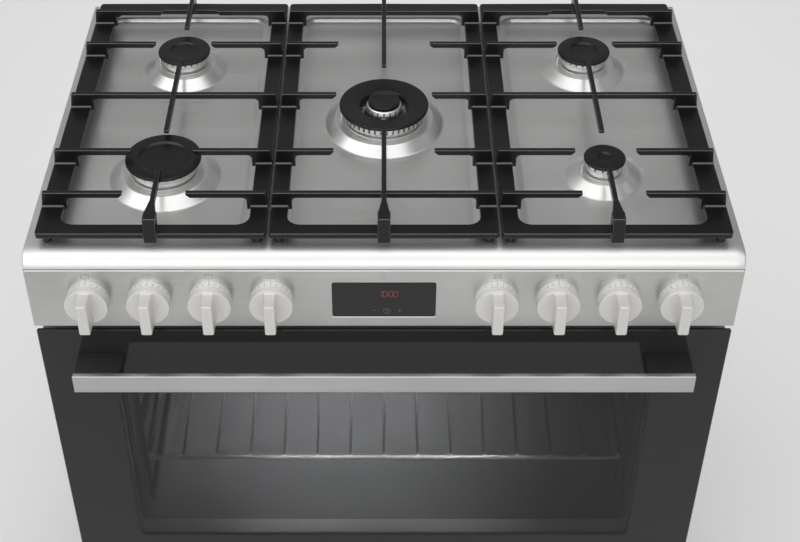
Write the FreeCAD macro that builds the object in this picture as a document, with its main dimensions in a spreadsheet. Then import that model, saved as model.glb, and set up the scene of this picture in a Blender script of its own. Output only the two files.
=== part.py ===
import FreeCAD, Part
import math
import os
import Sketcher

document = FreeCAD.newDocument("RangeCooker")
sheet = document.addObject("Spreadsheet::Sheet", "Sizes")

# Driving sizes in millimetres; x runs to the right, y to the back and z up from the floor.
driving_sizes = {
    # the whole cooker
    "hob_width": 900, "body_width": 877, "body_depth": 600, "hob_height": 900, "foot_height": 60,
    "handle_reach": 50, "steel": 1.2, "fit": 0.3, "slip": 0.05, "overrun": 5,
    # hob pressing
    "roll_radius": 20, "hob_steel": 1.5, "well_depth": 6, "well_slope": 13, "well_corner": 16,
    "well_front": 42, "well_rear": 30, "well_side": 32, "well_land": 46, "dome_rise": 12,
    # burners: cap, head, shelf of the dome, foot of the dome, recess of the cap
    "small_cap": 27.5, "small_head": 23.5, "small_shelf": 34, "small_foot": 50.5, "small_recess": 9,
    "medium_cap": 37.5, "medium_head": 32, "medium_shelf": 44, "medium_foot": 60.5, "medium_recess": 19,
    "large_cap": 50, "large_head": 43, "large_shelf": 57, "large_foot": 74, "large_recess": 32,
    "wok_cap": 61.5, "wok_head": 54, "wok_shelf": 68, "wok_foot": 82, "wok_hole": 34,
    "burner_front": 171, "burner_rear": 430, "burner_middle": 294,
    "cup_flange": 1.2, "cup_depth": 34, "cup_wall": 2, "head_height": 16, "head_flare": 3,
    "head_wall": 6, "head_floor": 2.5, "port_width": 1.6, "port_depth": 4, "cap_thick": 4.5,
    "cap_bevel": 1.5, "cap_spigot": 2, "recess_depth": 1.2, "wok_rise": 5, "inner_head": 19,
    "inner_cap": 22, "inner_thick": 5, "bridge_width": 9, "bridge_height": 5,
    "electrode_radius": 2, "electrode_gap": 4.5, "electrode_height": 11,
    # pan supports
    "support_width": 287, "support_gap": 3.5, "support_front": 22, "support_rear": 574,
    "rail_side": 28, "rail_mid": 22, "rail_end": 19, "rail_bottom": 12, "rail_top": 20,
    "rail_corner": 5, "window_corner": 17, "bar_top": 41, "bar_depth": 8, "bar_width": 6.5,
    "tip_bevel": 5, "tip_face": 3.5, "leg_inset": 5, "leg_draft": 2.7, "leg_drop": 5,
    "tip_reach": 40, "wok_tip_reach": 66, "wok_tip_depth": 75, "bar_step_near": 130,
    "bar_step_far": 220, "bar_middle": 300, "finger_root": 16, "finger_flare": 42,
    "hook_drop": 5, "stud_radius": 6, "stud_inset": 12,
    # control panel, clock, knobs and what turns them
    "panel_height": 95.5, "panel_return": 38, "knob_first": 142, "knob_pitch": 77.4,
    "knob_drop": 66, "ring_radius": 25, "ring_depth": 13, "ring_wall": 3, "knob_radius": 27.5,
    "knob_front": 20, "knob_skirt": 12.6, "knob_web": 3, "knob_bevel": 1.5, "ring_bevel": 1.5,
    "skirt_clearance": 0.8, "grip_front": 45,
    "grip_width": 14.9, "grip_height": 48.5, "grip_taper": 1.5, "grip_edge": 2.2, "hub_radius": 8,
    "hub_back": 4, "spindle_radius": 4, "spindle_front": 34, "spindle_tail": 34, "push_travel": 3,
    "clock_width": 131, "clock_height": 57, "clock_drop": 41.5, "clock_corner": 3,
    "clock_proud": 0.8, "clock_body_inset": 8, "clock_depth": 28,
    "rail_radius": 7, "rail_setback": 62, "tap_width": 24, "tap_height": 32, "tap_barrel": 11,
    "tap_front": 10, "tap_seat": 17, "switch_size": 40, "switch_front": 1.5, "switch_depth": 40,
    "switch_shaft": 5, "pipe_side": 395, "elbow_half": 10, "inlet_radius": 10.5, "inlet_length": 24,
    "inlet_nut": 15, "inlet_nut_depth": 5, "inlet_cover": 17,
    # carcass
    "frame_setback": 40, "frame_cover": 26, "flange": 20, "back_setback": 28, "louvre_width": 90,
    "louvre_height": 5, "louvre_pitch": 14, "louvre_inset": 190, "louvre_drop": 60, "base_height": 14,
    "foot_side_inset": 17.5, "foot_inset": 70, "foot_pad": 19, "foot_pad_height": 9, "foot_stem": 5,
    "foot_boss": 9, "foot_stem_top": 52, "mouth_edge": 5,
    # oven
    "cavity_width": 710, "cavity_height": 418, "rear_space": 90.8, "cavity_corner": 16,
    "cavity_sill": 30, "cavity_lip": 12, "seal_width": 7, "ladder_wire": 3, "ladder_rungs": 76,
    "ladder_front": 40, "ladder_rear": 26.8, "ladder_low": 60, "ladder_high": 300,
    "ladder_pair": 14, "ladder_end": 5, "shelf_wire": 2, "shelf_frame_wire": 3, "shelf_front": 22,
    "shelf_rear": 4.8, "shelf_gap": 2, "grill_wire": 3.5, "grill_drop": 22, "grill_width": 560,
    "grill_front": 70, "fan_radius": 70, "fan_hub": 12, "fan_depth": 18, "fan_axis": 195,
    "fan_blade": 1.5, "fan_stand": 12, "fan_shaft": 4, "fan_tail": 5, "cover_width": 420,
    "cover_height": 300, "cover_depth": 42, "cover_corner": 20, "cover_hole": 3.5,
    "cover_ring": 42, "cover_slot_width": 10, "cover_slot_length": 150, "motor_radius": 32,
    "motor_depth": 50, "motor_step": 5, "lamp_radius": 22, "lamp_seat": 2, "lamp_neck": 4,
    "lamp_depth": 14, "lamp_side": 280, "lamp_height": 330,
    # door and its handle
    "door_width": 898, "door_height": 490, "door_gap": 8, "door_thick": 36, "glass_thick": 4,
    "door_inset": 5, "door_wall": 2, "window_width": 722, "window_top": 46, "window_bottom": 70,
    "window_round": 12,
    "glass_seat": 14, "glass_corner": 3, "hinge_side": 330, "hinge_height": 6, "hinge_setback": 15,
    "hinge_eye": 6, "hinge_pin": 3, "hinge_plate": 5, "hinge_claw": 70, "hinge_cheek": 8,
    "handle_length": 800, "handle_height": 28.5, "handle_thick": 7.5, "handle_drop": 35,
    "handle_edge": 1.2, "bracket_width": 60, "bracket_height": 19, "bracket_corner": 2,
    # storage drawer
    "drawer_gap": 12, "drawer_bottom": 84, "drawer_thick": 18, "drawer_side": 398, "drawer_depth": 520,
    "drawer_wall": 150, "drawer_lift": 10, "drawer_fold": 14, "runner_width": 12, "runner_height": 24,
    "runner_lift": 66, "runner_length": 480, "runner_tab": 8,
}


class Size:
    """A length that knows its value and the expression that ties it to the sheet."""

    def __init__(self, value, text):
        self.value = float(value)
        self.text = text

    def __add__(self, other):
        other = as_size(other)
        return Size(self.value + other.value, "(%s + %s)" % (self.text, other.text))

    def __sub__(self, other):
        other = as_size(other)
        return Size(self.value - other.value, "(%s - %s)" % (self.text, other.text))

    def __rsub__(self, other):
        return as_size(other) - self

    def __mul__(self, factor):
        factor = as_size(factor)
        return Size(self.value * factor.value, "%s * %s" % (self.text, factor.text))

    def __truediv__(self, factor):
        factor = as_size(factor)
        return Size(self.value / factor.value, "%s / %s" % (self.text, factor.text))

    def __neg__(self):
        return Size(-self.value, "(0 - %s)" % self.text)

    __radd__ = __add__
    __rmul__ = __mul__


def as_size(term):
    if isinstance(term, Size):
        return term
    return Size(term, "(%.12g)" % term)


class Sizes:
    """Every cell of the sheet as an attribute."""


cells = Sizes()
for row, (alias, amount) in enumerate(driving_sizes.items(), start=1):
    sheet.set("A%d" % row, alias)
    sheet.set("B%d" % row, str(amount))
    sheet.setAlias("B%d" % row, alias)
    setattr(cells, alias, Size(amount, "Sizes." + alias))
document.recompute()

port_counts = {"small": 16, "medium": 24, "large": 30, "wok": 36}
bridge_turns = (30, 150, 270)
louvre_rows, ladder_steps, shelf_spaces, grill_legs, fan_blades = 5, 4, 14, 6, 8
cover_rings = ((0.625, 8), (1, 12))  # share of the outer ring's radius, number of holes

nodes = {}


def bind(thing, path, size):
    thing.setExpression(path, as_size(size).text)


def keep(node, thing):
    """Names a finished sub-part."""
    thing.Label = node
    nodes[node] = thing
    return thing


def unique(stem):
    """A document name that is not taken yet."""
    count = 1
    while document.getObject("%s_%d" % (stem, count)):
        count += 1
    return "%s_%d" % (stem, count)


def place(thing, corner, rotation=None):
    if rotation:
        thing.Placement = FreeCAD.Placement(FreeCAD.Vector(), rotation)
    for axis, size in zip("xyz", corner):
        bind(thing, "Placement.Base." + axis, size)


def box(stem, along_x, along_y, along_z):
    """A block between the given low and high places."""
    block = document.addObject("Part::Box", unique(stem))
    spans = (along_x, along_y, along_z)
    for side, (low, high) in zip(("Length", "Width", "Height"), spans):
        bind(block, side, as_size(high) - low)
    place(block, [span[0] for span in spans])
    return block


axis_turns = {
    "x": FreeCAD.Rotation(FreeCAD.Vector(0, 1, 0), 90),
    "y": FreeCAD.Rotation(FreeCAD.Vector(1, 0, 0), -90),
    "z": FreeCAD.Rotation(),
}


def rod(stem, radius, axis, start, length):
    """A round bar from start along one axis."""
    bar = document.addObject("Part::Cylinder", unique(stem))
    bind(bar, "Radius", radius)
    bind(bar, "Height", length)
    place(bar, start, axis_turns[axis])
    return bar


def joined(stem, pieces):
    union = document.addObject("Part::MultiFuse", unique(stem))
    union.Shapes = pieces
    union.Refine = True
    return union


def grouped(stem, pieces):
    group = document.addObject("Part::Compound", unique(stem))
    group.Links = pieces
    return group


def carved(stem, base, tools):
    cut = document.addObject("Part::Cut", unique(stem))
    cut.Base = base
    cut.Tool = tools[0] if len(tools) == 1 else joined(stem + "_tools", tools)
    return cut


def new_body(stem, corner=(0, 0, 0)):
    body = document.addObject("PartDesign::Body", unique(stem))
    place(body, corner)
    return body


def sketch_on(body, role, offset=0, aside=0):
    """A sketch on one of the body's own planes, moved along the plane's normal and aside."""
    sketch = body.newObject("Sketcher::SketchObject", unique(body.Name + "_sketch"))
    plane = [item for item in body.Origin.OriginFeatures if item.Role == role][0]
    sketch.AttachmentSupport = [(plane, "")]
    sketch.MapMode = "FlatFace"
    bind(sketch, "AttachmentOffset.Base.z", offset)
    bind(sketch, "AttachmentOffset.Base.x", aside)
    return sketch


def hold_point(sketch, element, end, point):
    """Ties a point of the sketch to its two sizes, measured from the sketch's origin."""
    for kind, axis, size in zip(("DistanceX", "DistanceY"), (-2, -1), point):
        size = as_size(size)
        if size.value == 0:
            sketch.addConstraint(Sketcher.Constraint("PointOnObject", element, end, axis))
            continue
        rule = Sketcher.Constraint(kind, -1, 1, element, end, size.value)
        bind(sketch, "Constraints[%d]" % sketch.addConstraint(rule), size)


def outline(sketch, points, bends=None):
    """A closed outline; bends gives the radius and the centre of each edge that is an arc."""
    bends = bends or {}
    first = sketch.GeometryCount
    ends = []
    plain = [FreeCAD.Vector(as_size(u).value, as_size(v).value, 0) for u, v in points]
    for index, start in enumerate(plain):
        finish = plain[(index + 1) % len(plain)]
        if index not in bends:
            sketch.addGeometry(Part.LineSegment(start, finish), False)
            ends.append((1, 2))
            continue
        radius, centre = bends[index]
        centre = FreeCAD.Vector(as_size(centre[0]).value, as_size(centre[1]).value, 0)
        angles = [math.atan2(spot.y - centre.y, spot.x - centre.x) for spot in (start, finish)]
        forward = math.sin(angles[1] - angles[0]) > 0
        circle = Part.Circle(centre, FreeCAD.Vector(0, 0, 1), as_size(radius).value)
        low, high = angles if forward else angles[::-1]
        sketch.addGeometry(Part.ArcOfCircle(circle, low, high), False)
        ends.append((1, 2) if forward else (2, 1))
    for index, point in enumerate(points):
        following = (index + 1) % len(points)
        sketch.addConstraint(Sketcher.Constraint(
            "Coincident", first + index, ends[index][1], first + following, ends[following][0]))
    for index, point in enumerate(points):
        hold_point(sketch, first + index, ends[index][0], point)
    for index, (radius, centre) in bends.items():
        rule = Sketcher.Constraint("Radius", first + index, as_size(radius).value)
        bind(sketch, "Constraints[%d]" % sketch.addConstraint(rule), radius)


def rectangle(sketch, low, high, corner=None):
    """A rectangle between two corners, with rounded corners where a radius is given."""
    (left, bottom), (right, top) = low, high
    if corner is None:
        outline(sketch, [(left, bottom), (right, bottom), (right, top), (left, top)])
        return
    points = [
        (left + corner, bottom), (right - corner, bottom), (right, bottom + corner),
        (right, top - corner), (right - corner, top), (left + corner, top),
        (left, top - corner), (left, bottom + corner),
    ]
    centres = [
        (right - corner, bottom + corner), (right - corner, top - corner),
        (left + corner, top - corner), (left + corner, bottom + corner),
    ]
    bends = {2 * turn + 1: (corner, centre) for turn, centre in enumerate(centres)}
    outline(sketch, points, bends)


def circle(sketch, centre, radius):
    spot = FreeCAD.Vector(as_size(centre[0]).value, as_size(centre[1]).value, 0)
    ring = Part.Circle(spot, FreeCAD.Vector(0, 0, 1), as_size(radius).value)
    element = sketch.addGeometry(ring, False)
    hold_point(sketch, element, 3, centre)
    rule = Sketcher.Constraint("Radius", element, as_size(radius).value)
    bind(sketch, "Constraints[%d]" % sketch.addConstraint(rule), radius)


def extrude(body, sketch, length, kind="Pad", backwards=False, both=False, taper=0):
    """A pad or a pocket of a sketch."""
    feature = body.newObject("PartDesign::" + kind, unique(body.Name + "_" + kind.lower()))
    feature.Profile = sketch
    bind(feature, "Length", length)
    feature.Reversed = backwards
    feature.Midplane = both
    if taper:
        bind(feature, "TaperAngle", taper)
    return feature


def revolve(body, sketch, axis="V_Axis", kind="Revolution"):
    feature = body.newObject("PartDesign::" + kind, unique(body.Name + "_" + kind.lower()))
    feature.Profile = sketch
    feature.ReferenceAxis = (sketch, [axis])
    feature.Angle = 360
    return feature


def loft(body, first, second, kind="AdditiveLoft"):
    feature = body.newObject("PartDesign::" + kind, unique(body.Name + "_loft"))
    feature.Profile = first
    feature.Sections = [second]
    feature.Ruled = True
    return feature


def polar(body, feature, sketch, count):
    """Repeats a feature round the vertical axis of its sketch."""
    pattern = body.newObject("PartDesign::PolarPattern", unique(body.Name + "_pattern"))
    pattern.Originals = [feature]
    pattern.Axis = (sketch, ["N_Axis"])
    pattern.Angle = 360
    pattern.Occurrences = count
    body.Tip = pattern
    return pattern


def soften(body, feature, radius, chosen, kind="Fillet"):
    """Rounds or bevels the edges of a feature that the test picks."""
    document.recompute()
    edges = ["Edge%d" % (number + 1) for number, edge in enumerate(feature.Shape.Edges)
             if chosen(edge)]
    rounding = body.newObject("PartDesign::" + kind, unique(body.Name + "_" + kind.lower()))
    rounding.Base = (feature, edges)
    bind(rounding, "Radius" if kind == "Fillet" else "Size", radius)
    return rounding


def runs_along(edge, axis):
    """True where an edge is straight along x, y or z (0, 1 or 2)."""
    if not isinstance(edge.Curve, Part.Line):
        return False
    return abs(abs(edge.Curve.Direction[axis]) - 1) < 1e-6


c = cells
front = (c.handle_reach - c.body_depth) / 2
back = front + c.body_depth
hob = c.hob_height
panel_top = hob - c.roll_radius
panel_bottom = panel_top - c.panel_height
door_top = panel_bottom - c.door_gap
door_bottom = door_top - c.door_height
drawer_top = door_bottom - c.drawer_gap
frame_face = front + c.frame_setback
frame_back = frame_face + c.steel
body_side = c.body_width / 2
knob_height = hob - c.knob_drop
back_face = back - c.back_setback
cavity_depth = back_face - c.rear_space - frame_back
well_floor = hob - c.well_depth
dome_top = well_floor + c.dome_rise
half_turns = (-1, 1)
side_names = {-1: "left", 1: "right"}

support_pitch = c.support_width + c.support_gap
burner_kinds = {
    "front_left": ("large", -1, c.burner_front), "rear_left": ("medium", -1, c.burner_rear),
    "centre": ("wok", 0, c.burner_middle), "rear_right": ("medium", 1, c.burner_rear),
    "front_right": ("small", 1, c.burner_front),
}


def burner_size(kind, what):
    return getattr(cells, "%s_%s" % (kind, what))


def burner_spot(name):
    """The burner's middle on the hob."""
    kind, side, depth = burner_kinds[name]
    return support_pitch * side, front + depth


# Hob top: one sheet with a rolled front edge, turned-down sides, three wells and five domes.
def make_hob_top():
    body = new_body("hob_top")
    half = c.hob_width / 2
    slab_sketch = sketch_on(body, "XY_Plane", panel_top)
    rectangle(slab_sketch, (-half, front), (half, back))
    slab = extrude(body, slab_sketch, c.roll_radius)
    edge_round = c.hob_steel + c.fit
    under_top = (hob - c.hob_steel).value
    rolled = soften(body, slab, c.roll_radius - c.fit, lambda edge: runs_along(edge, 0)
                    and edge.CenterOfMass.z > under_top and edge.CenterOfMass.y < 0)
    eased = soften(body, rolled, edge_round, lambda edge: runs_along(edge, 1)
                   and edge.CenterOfMass.z > under_top)
    hollow = sketch_on(body, "XY_Plane", panel_top)
    inner = half - c.hob_steel
    rectangle(hollow, (-inner, front + c.roll_radius), (inner, back - c.hob_steel))
    extrude(body, hollow, c.roll_radius - c.hob_steel, "Pocket", backwards=True)
    nose = sketch_on(body, "YZ_Plane")
    inner_round = c.roll_radius - c.hob_steel
    middle = front + c.roll_radius
    outline(nose, [(front + c.hob_steel, panel_top), (middle + c.overrun, panel_top),
                   (middle + c.overrun, hob - c.hob_steel), (middle, hob - c.hob_steel)],
            {3: (inner_round, (middle, panel_top))})
    extrude(body, nose, inner * 2, "Pocket", both=True)
    centre_half = c.support_width / 2 - c.well_side / 2
    wells = [
        (-(half - c.well_side), -(centre_half + c.well_land)), (-centre_half, centre_half),
        (centre_half + c.well_land, half - c.well_side),
    ]
    rim_front = front + c.well_front
    rim_rear = back - c.well_rear
    for left, right in wells:
        for kind, top, depth, grow in (
                ("AdditiveLoft", hob - c.hob_steel, c.well_depth, c.hob_steel),
                ("SubtractiveLoft", hob, c.well_depth, 0)):
            rim = sketch_on(body, "XY_Plane", top)
            floor = sketch_on(body, "XY_Plane", top - depth)
            slope = c.well_slope
            rectangle(rim, (left - grow, rim_front - grow), (right + grow, rim_rear + grow),
                      c.well_corner + c.well_slope)
            rectangle(floor, (left + slope - grow, rim_front + slope - grow),
                      (right - slope + grow, rim_rear - slope + grow), c.well_corner)
            loft(body, rim, floor, kind)
    for name, (kind, side, depth) in burner_kinds.items():
        spot = burner_spot(name)
        foot = burner_size(kind, "foot")
        shelf = burner_size(kind, "shelf")
        mouth = burner_size(kind, "head") - c.cup_wall
        opening = sketch_on(body, "XY_Plane", well_floor)
        circle(opening, spot, foot - c.hob_steel)
        extrude(body, opening, c.hob_steel + c.overrun, "Pocket")
        dome = sketch_on(body, "XZ_Plane", -spot[1], spot[0])
        skin = c.hob_steel
        outline(dome, [
            (foot, well_floor), (shelf, dome_top), (mouth, dome_top), (mouth, dome_top - skin),
            (shelf - skin / 2, dome_top - skin), (foot - skin, well_floor - skin),
            (foot, well_floor - skin)])
        revolve(body, dome)
    keep("hob_top", body)


# Burner cups: a dish under each dome with a flange on the dome's shelf and an ignition electrode.
def make_burner_cups():
    cups = []
    for name, (kind, side, depth) in burner_kinds.items():
        head = burner_size(kind, "head")
        spot = burner_spot(name)
        outer = head - c.cup_wall - c.fit
        inner = outer - c.cup_wall
        body = new_body("cup_" + name, (spot[0], spot[1], 0))
        sketch = sketch_on(body, "XZ_Plane")
        top = dome_top + c.cup_flange
        floor = dome_top - c.cup_depth
        outline(sketch, [
            (0, floor - c.cup_wall), (outer, floor - c.cup_wall), (outer, dome_top + c.slip),
            (head + c.cup_wall, dome_top + c.slip), (head + c.cup_wall, top), (inner, top),
            (inner, floor), (0, floor)])
        revolve(body, sketch)
        reach = head + c.electrode_gap
        electrode = rod("electrode", c.electrode_radius, "z",
                        (spot[0] - reach, spot[1], dome_top + c.slip), c.electrode_height)
        cups.extend([body, electrode])
    keep("burner_cups", grouped("burner_cups", cups))


# Burner heads: a flared ring with flame ports cut through its top edge.
def make_burner_heads():
    for name, (kind, side, depth) in burner_kinds.items():
        head = burner_size(kind, "head")
        spot = burner_spot(name)
        body = new_body("head_" + name, (spot[0], spot[1], dome_top + c.cup_flange + c.fit))
        sketch = sketch_on(body, "XZ_Plane")
        inner = head - c.head_wall
        flare = head + c.head_flare
        bore = c.wok_hole - c.head_wall if kind == "wok" else inner / 4
        outline(sketch, [
            (bore, 0), (head, 0), (head, c.head_height / 2), (flare, c.head_height - c.port_depth),
            (flare, c.head_height), (inner, c.head_height), (inner, c.head_floor),
            (bore, c.head_floor)])
        revolve(body, sketch)
        ports = sketch_on(body, "XY_Plane", c.head_height)
        rectangle(ports, (inner - c.overrun, -c.port_width / 2), (flare + c.overrun, c.port_width / 2))
        slot = extrude(body, ports, c.port_depth, "Pocket")
        polar(body, slot, ports, port_counts[kind])
        if kind == "wok":
            body = make_wok_centre(body, inner)
        keep("burner_head_" + name, body)


# The wok burner's inner ring stands in the middle on three bridges.
def make_wok_centre(body, inner):
    spot = burner_spot("centre")
    low = dome_top + c.cup_flange + c.fit
    core = new_body("wok_core", (spot[0], spot[1], low))
    sketch = sketch_on(core, "XZ_Plane")
    rise = c.head_height + c.wok_rise
    outline(sketch, [
        (c.inner_head - c.head_wall, 0), (c.inner_head, 0), (c.inner_head, rise - c.port_depth),
        (c.inner_cap - c.cap_bevel, rise), (c.inner_head - c.head_wall, rise)])
    revolve(core, sketch)
    bridges = []
    start, half = c.inner_head - c.head_wall / 2, c.bridge_width / 2
    for turn in bridge_turns:
        bridge = box("bridge", (start, inner + c.head_wall / 2), (-half, half), (0, c.bridge_height))
        along, across = math.cos(math.radians(turn)), math.sin(math.radians(turn))
        # turned about the burner's axis, so its corner moves along and across that turn
        place(bridge, (spot[0] + start * along + half * across, spot[1] + start * across - half * along,
                       low), FreeCAD.Rotation(FreeCAD.Vector(0, 0, 1), turn))
        bridges.append(bridge)
    return joined("burner_head_centre", [body, core] + bridges)


# Burner caps: enamelled discs with a bevelled edge, a shallow recess and a spigot underneath.
def make_burner_caps():
    for name, (kind, side, depth) in burner_kinds.items():
        cap = burner_size(kind, "cap")
        spot = burner_spot(name)
        low = dome_top + c.cup_flange + c.fit + c.head_height + c.fit
        body = new_body("cap_" + name, (spot[0], spot[1], low))
        sketch = sketch_on(body, "XZ_Plane")
        spigot = burner_size(kind, "head") - c.head_wall - c.fit * 2
        top = c.cap_thick
        if kind == "wok":
            hole = c.wok_hole
            outline(sketch, [
                (hole, top), (hole, -c.cap_spigot), (spigot, -c.cap_spigot), (spigot, 0),
                (cap - c.cap_bevel, 0), (cap, c.cap_bevel), (cap, top - c.cap_bevel),
                (cap - c.cap_bevel, top), (hole + c.cap_bevel, top + c.wok_rise),
                (hole, top + c.wok_rise - c.cap_bevel)])
        else:
            recess = burner_size(kind, "recess")
            outline(sketch, [
                (0, 0), (0, -c.cap_spigot), (spigot, -c.cap_spigot), (spigot, 0),
                (cap - c.cap_bevel, 0), (cap, c.cap_bevel), (cap, top - c.cap_bevel),
                (cap - c.cap_bevel, top), (recess + c.recess_depth, top),
                (recess, top - c.recess_depth), (0, top - c.recess_depth)])
        revolve(body, sketch)
        if kind == "wok":
            core_low = low + c.wok_rise
            core = new_body("inner_cap", (spot[0], spot[1], core_low))
            core_sketch = sketch_on(core, "XZ_Plane")
            inner_spigot = c.inner_head - c.head_wall - c.fit * 2
            outline(core_sketch, [
                (0, -c.cap_spigot), (inner_spigot, -c.cap_spigot), (inner_spigot, 0),
                (c.inner_cap - c.cap_bevel, 0), (c.inner_cap, c.cap_bevel),
                (c.inner_cap, c.inner_thick - c.cap_bevel),
                (c.inner_cap - c.cap_bevel, c.inner_thick), (0, c.inner_thick)])
            revolve(core, core_sketch)
            body = grouped("burner_cap_centre", [body, core])
        keep("burner_cap_" + name, body)


# Pan supports: a cast rail frame with legs, crossbars and fingers that reach towards the flames.
def bar_profile(left, right, left_leg, right_leg):
    """Side view of one bar: a leg over the rail at a leg end, a bevelled tip at a free end."""
    top = hob + c.bar_top
    under = top - c.bar_depth
    foot = hob + c.rail_top
    heel = hob + c.rail_top - c.leg_drop
    points = []
    if left_leg:
        points += [(left + c.leg_draft, top), (left, foot), (left + left_leg, foot),
                   (left + left_leg, heel), (left + left_leg + c.leg_inset, heel),
                   (left + left_leg + c.leg_inset, under)]
    else:
        points += [(left, top), (left, top - c.tip_face), (left + c.tip_bevel, under)]
    if right_leg:
        points += [(right - right_leg - c.leg_inset, under), (right - right_leg - c.leg_inset, heel),
                   (right - right_leg, heel), (right - right_leg, foot), (right, foot),
                   (right - c.leg_draft, top)]
    else:
        points += [(right - c.tip_bevel, under), (right, top - c.tip_face), (right, top)]
    return points


def make_pan_support(side, node):
    body = new_body(node)
    middle = support_pitch * side
    half = c.support_width / 2
    left, right = middle - half, middle + half
    left_rail = c.rail_side if side < 0 else c.rail_mid
    right_rail = c.rail_side if side > 0 else c.rail_mid
    near = front + c.support_front
    far = front + c.support_rear
    rails = sketch_on(body, "XY_Plane", hob + c.rail_bottom)
    rectangle(rails, (left, near), (right, far), c.rail_corner)
    rectangle(rails, (left + left_rail, near + c.rail_end), (right - right_rail, far - c.rail_end),
              c.window_corner)
    extrude(body, rails, c.rail_top - c.rail_bottom)
    studs = sketch_on(body, "XY_Plane", hob + c.rail_bottom)
    for stud_x in (left + c.stud_inset, right - c.stud_inset):
        for stud_y in (near + c.stud_inset, far - c.stud_inset):
            circle(studs, (stud_x, stud_y), c.stud_radius)
    extrude(body, studs, c.rail_bottom - c.fit, backwards=True)
    reach = c.tip_reach if side else c.wok_tip_reach
    whole_bars = (0,) if side else (-2, 2)
    steps = {-2: -c.bar_step_far, -1: -c.bar_step_near, 0: 0, 1: c.bar_step_near, 2: c.bar_step_far}
    for place_index, step in steps.items():
        bar_y = front + c.bar_middle + step
        if place_index in whole_bars:
            profiles = [bar_profile(left, right, left_rail, right_rail)]
        else:
            profiles = [bar_profile(left, middle - reach, left_rail, None),
                        bar_profile(middle + reach, right, None, right_rail)]
        for profile in profiles:
            sketch = sketch_on(body, "XZ_Plane", -bar_y)
            outline(sketch, profile)
            extrude(body, sketch, c.bar_width, both=True)
    if side:
        middle_near = front + c.burner_front + c.tip_reach
        middle_far = front + c.burner_rear - c.tip_reach
        long_bars = [(near, front + c.burner_front - c.tip_reach, c.rail_end, None),
                     (middle_near, middle_far, None, None),
                     (front + c.burner_rear + c.tip_reach, far, None, c.rail_end)]
    else:
        long_bars = [(near, front + c.burner_middle - c.wok_tip_depth, c.rail_end, None),
                     (front + c.burner_middle + c.wok_tip_depth, far, None, c.rail_end)]
    for start, finish, start_leg, finish_leg in long_bars:
        sketch = sketch_on(body, "YZ_Plane", middle)
        outline(sketch, bar_profile(start, finish, start_leg, finish_leg))
        extrude(body, sketch, c.bar_width, both=True)
    # the front finger flares to a block that hooks over the front rail
    top = hob + c.bar_top
    flare = sketch_on(body, "XY_Plane", top - c.bar_depth)
    wide = c.finger_root / 2
    slim = c.bar_width / 2
    begin = near + c.rail_end - c.leg_inset
    outline(flare, [(middle - wide, near + c.leg_draft), (middle + wide, near + c.leg_draft),
                    (middle + wide, begin), (middle + slim, near + c.finger_flare),
                    (middle - slim, near + c.finger_flare), (middle - wide, begin)])
    extrude(body, flare, c.bar_depth)
    hook = sketch_on(body, "YZ_Plane", middle)
    outline(hook, [(near + c.leg_draft, top), (near - c.leg_draft, hob + c.rail_bottom - c.hook_drop),
                   (near + c.fit, hob + c.rail_bottom - c.hook_drop), (near + c.rail_end, hob + c.rail_top),
                   (near + c.rail_end, top)])
    extrude(body, hook, c.finger_root, both=True)
    keep(node, body)


# Carcass: two folded side sheets, a back with louvres, a base tray and the frame round the openings.
def make_side_panel(side):
    node = "side_panel_" + side_names[side]
    body = new_body(node)
    low = c.foot_height + c.base_height + c.fit
    sketch = sketch_on(body, "XY_Plane", low)
    outer = body_side * side
    skin = c.steel * side
    lip = c.flange * side
    fore = frame_back + c.fit
    rear = back - c.hob_steel
    outline(sketch, [
        (outer, fore), (outer, rear), (outer - lip, rear), (outer - lip, rear - c.steel),
        (outer - skin, rear - c.steel), (outer - skin, fore + c.steel), (outer - lip, fore + c.steel),
        (outer - lip, fore)])
    extrude(body, sketch, panel_top - c.fit - low)
    keep(node, body)


def make_back_panel():
    body = new_body("back_panel")
    half = body_side - c.steel - c.fit
    low = c.foot_height + c.base_height + c.fit
    high = panel_top - c.fit
    sketch = sketch_on(body, "XZ_Plane", -back_face)
    rectangle(sketch, (-half, low), (half, high))
    circle(sketch, (c.pipe_side, knob_height), c.rail_radius + c.fit * 3)
    extrude(body, sketch, c.steel)
    row = c.louvre_height + c.louvre_pitch
    for side in half_turns:
        for rank in range(louvre_rows):
            slot = sketch_on(body, "XZ_Plane", -back_face)
            centre = c.louvre_inset * side
            top = high - c.louvre_drop - row * rank
            rectangle(slot, (centre - c.louvre_width / 2, top - c.louvre_height),
                      (centre + c.louvre_width / 2, top))
            extrude(body, slot, c.steel + c.overrun, "Pocket", both=True)
    keep("back_panel", body)


def make_base_tray():
    half = body_side
    low, high = c.foot_height + c.fit, c.foot_height + c.base_height
    near, far = front + c.flange, back_face - c.fit
    plate = box("tray", (-half, half), (near, far), (low, high))
    inside = box("tray_inside", (-half + c.steel, half - c.steel), (near + c.steel, far - c.steel),
                 (low + c.steel, high + c.overrun))
    shell = carved("tray_shell", plate, [inside])
    bosses, holes = [], []
    for x, y in foot_spots():
        bosses.append(rod("boss", c.foot_boss, "z", (x, y, low), c.base_height - c.fit))
        holes.append(rod("boss_hole", c.foot_stem + c.slip, "z", (x, y, low - c.overrun),
                         c.base_height + c.overrun * 2))
    solid = joined("tray_bosses", [shell] + bosses)
    keep("base_tray", carved("base_tray", solid, holes))


def foot_spots():
    return [((body_side - c.foot_side_inset) * side, y) for side in half_turns
            for y in (front + c.foot_inset, back_face - c.foot_inset)]


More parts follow.
